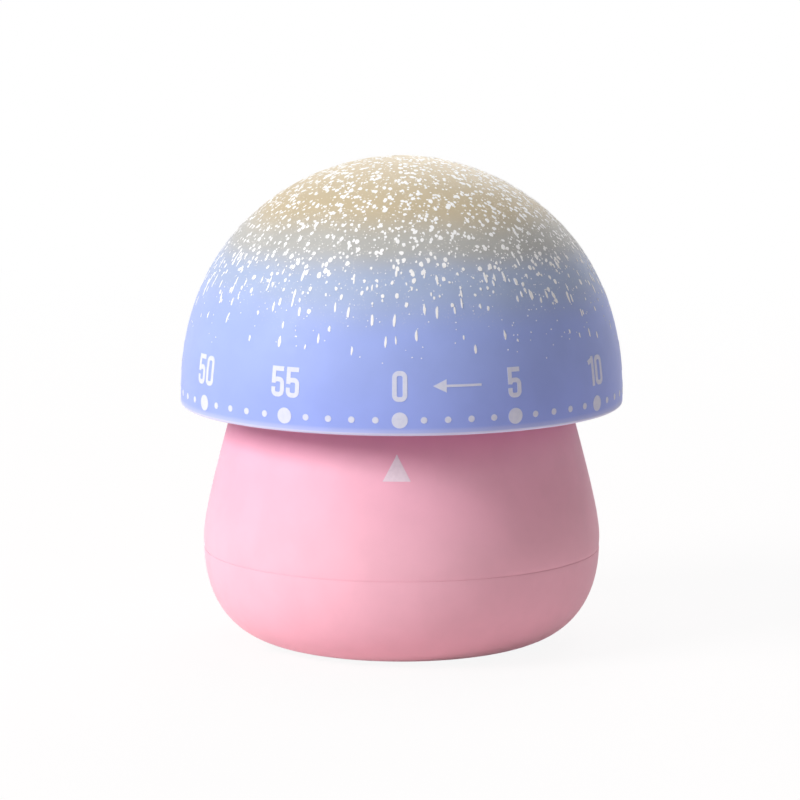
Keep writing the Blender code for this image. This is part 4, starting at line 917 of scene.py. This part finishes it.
def metal(name, colour, dark, roughness, scale, stretch):
    """Turned or stamped metal, with fine tool marks along one way."""
    material, graph, shader = new_material(name)
    place = graph.place()
    mapping = graph.nodes.new("ShaderNodeMapping")
    mapping.inputs["Scale"].default_value = (1.0, 1.0, stretch)
    graph.links.new(place, mapping.inputs["Vector"])
    marks = graph.noise(mapping.outputs["Vector"], scale, MARK_DETAIL)
    patina = graph.spread(graph.noise(place, *PATINA_NOISE), PATINA_LOW, NOISE_HIGH, 0.0, 1.0)
    tone = graph.ramp(patina, ((0.0, linear(*dark)), (1.0, linear(*colour))))
    graph.links.new(tone, shader.inputs["Base Color"])
    rough = graph.spread(marks, NOISE_LOW, NOISE_HIGH, *roughness)
    graph.links.new(rough, shader.inputs["Roughness"])
    shader.inputs["Metallic"].default_value = 1.0
    graph.bump(shader, marks, MARK_STRENGTH, MARK_DEPTH)
    return material


# Dressing
def dress(thing, material, body, replaced=()):
    thing.data.materials.append(material)
    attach(thing, body)
    if replaced:
        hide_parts(*replaced)


cap_plastic = soft_plastic("cap_plastic_sprayed", CAP_FADE, WIDEST_Z, CROWN_Z,
                           CAP_GLOSS, CAP_SHEEN, sprayed=True)
# The base plastic's fade carries painted shade on the neck under the cap's rim.
base_plastic = soft_plastic("base_plastic_sprayed", BASE_FADE_AND_NECK_SHADE, 0.0, DECK_Z, BASE_GLOSS, BASE_SHEEN)
hub_plastic = soft_plastic("hub_plastic_moulded", HUB_FADE, DECK_Z, CROWN_Z, CAP_GLOSS, CAP_SHEEN)
print_ink = paint("print_ink", *PRINT_INK)
pointer_ink = paint("pointer_ink", *POINTER_INK)
fleck_paint = paint("fleck_paint", *FLECK_PAINT)
slot_materials = {slot: metal(*values) for slot, values in METALS.items()}
slot_materials.update(cap_plastic=cap_plastic, base_plastic=base_plastic, hub_plastic=hub_plastic)

dress(make_cap_skin(), cap_plastic, "dial", ("cap_shell",))
dress(make_base_skin(), base_plastic, "base", ("base_shell",))
dress(make_cover_skin(), base_plastic, "base", ("bottom_cover",))
for printed in (make_dots(), make_numerals(), make_arrow()):
    dress(printed, print_ink, "dial")
dress(make_flecks(), fleck_paint, "dial")
dress(make_pointer(), pointer_ink, "base")
for subpart in frame["record"]["subparts"]:
    for holder in frame["nodes"][subpart["node"]].material_slots:
        holder.material = slot_materials[subpart["material_slot"]]


# Floor, light and camera
def seen_rays(graph):
    """1 for the rays that show the surroundings: seen, mirrored or through glass."""
    rays = graph.nodes.new("ShaderNodeLightPath").outputs
    mirrored = graph.arithmetic("MAXIMUM", rays["Is Glossy Ray"], rays["Is Transmission Ray"])
    return graph.arithmetic("MAXIMUM", rays["Is Camera Ray"], mirrored)


def make_floor():
    """Pale paper that is seen as white, less so near the object, where its shadow falls."""
    half = FLOOR_SIZE / 2
    corners = [(-half, -half, 0), (half, -half, 0), (half, half, 0), (-half, half, 0)]
    floor = new_object("floor", mesh_from("floor", corners, [(0, 1, 2, 3)]))
    material, graph, shader = new_material("floor_paper")
    shader.inputs["Roughness"].default_value = FLOOR_ROUGHNESS
    shader.inputs["Specular IOR Level"].default_value = FLOOR_GLOSS
    place = graph.place()
    cover = graph.mottle(place, *PAPER_NOISE)
    paper = graph.ramp(cover, ((0.0, PAPER_DARK), (1.0, PAPER_PALE)))
    graph.links.new(paper, shader.inputs["Base Color"])
    glow = graph.nodes.new("ShaderNodeEmission")
    glow.inputs["Strength"].default_value = 1.0
    distance = graph.nodes.new("ShaderNodeVectorMath")
    distance.operation = "LENGTH"
    graph.links.new(place, distance.inputs[0])
    white = graph.spread(distance.outputs["Value"], FLOOR_NEAR, FLOOR_FAR, FLOOR_GLOW, 1.0)
    mixed = graph.nodes.new("ShaderNodeMixShader")
    graph.links.new(graph.arithmetic("MULTIPLY", seen_rays(graph), white), mixed.inputs["Fac"])
    graph.links.new(shader.outputs["BSDF"], mixed.inputs[1])
    graph.links.new(glow.outputs["Emission"], mixed.inputs[2])
    graph.links.new(mixed.outputs["Shader"], graph.nodes["Material Output"].inputs["Surface"])
    floor.data.materials.append(material)


def make_world():
    world = bpy.data.worlds.new("studio")
    bpy.context.scene.world = world
    world.use_nodes = True
    graph = Graph(world.node_tree)
    background = graph.nodes["Background"]
    seen = seen_rays(graph)
    level = graph.spread(seen, 0.0, 1.0, WORLD_STRENGTH, 1.0)
    graph.links.new(level, background.inputs["Strength"])
    tint = graph.ramp(seen, ((0.0, WORLD_TINT), (1.0, WHITE)))
    graph.links.new(tint, background.inputs["Color"])


def make_softbox(name, place, width, power):
    light = bpy.data.lights.new(name, "AREA")
    light.shape = "SQUARE"
    light.size = width
    light.energy = power
    lamp = bpy.data.objects.new(name, light)
    lamp.location = place
    lamp.rotation_euler = (Vector(LAMP_TARGET) - Vector(place)).to_track_quat("-Z", "Y").to_euler()
    bpy.context.scene.collection.objects.link(lamp)


def make_camera():
    ring = Vector((0.0, 0.0, RING_Z))
    away = Vector(around(math.cos(CAMERA_ELEVATION), CAMERA_AZIMUTH, math.sin(CAMERA_ELEVATION)))
    view = away.to_track_quat("Z", "Y")
    pixel = CAMERA_DISTANCE / FOCAL_PIXELS
    right, up = view @ Vector((1.0, 0.0, 0.0)), view @ Vector((0.0, 1.0, 0.0))
    place = ring + away * CAMERA_DISTANCE
    aim = ring - up * AIM_DROP_PIXELS * pixel - right * AIM_LEFT_PIXELS * pixel
    lens = bpy.data.cameras.new("camera")
    lens.sensor_width = SENSOR_WIDTH
    lens.lens = FOCAL_PIXELS / IMAGE_PIXELS * SENSOR_WIDTH
    lens.clip_end = CAMERA_REACH
    camera = bpy.data.objects.new("camera", lens)
    camera.location = place
    camera.rotation_euler = (place - aim).to_track_quat("Z", "Y").to_euler()
    bpy.context.scene.collection.objects.link(camera)
    bpy.context.scene.camera = camera


make_floor()
make_world()
for softbox in SOFTBOXES:
    make_softbox(*softbox)
make_camera()
bpy.context.scene.view_settings.view_transform = "Standard"
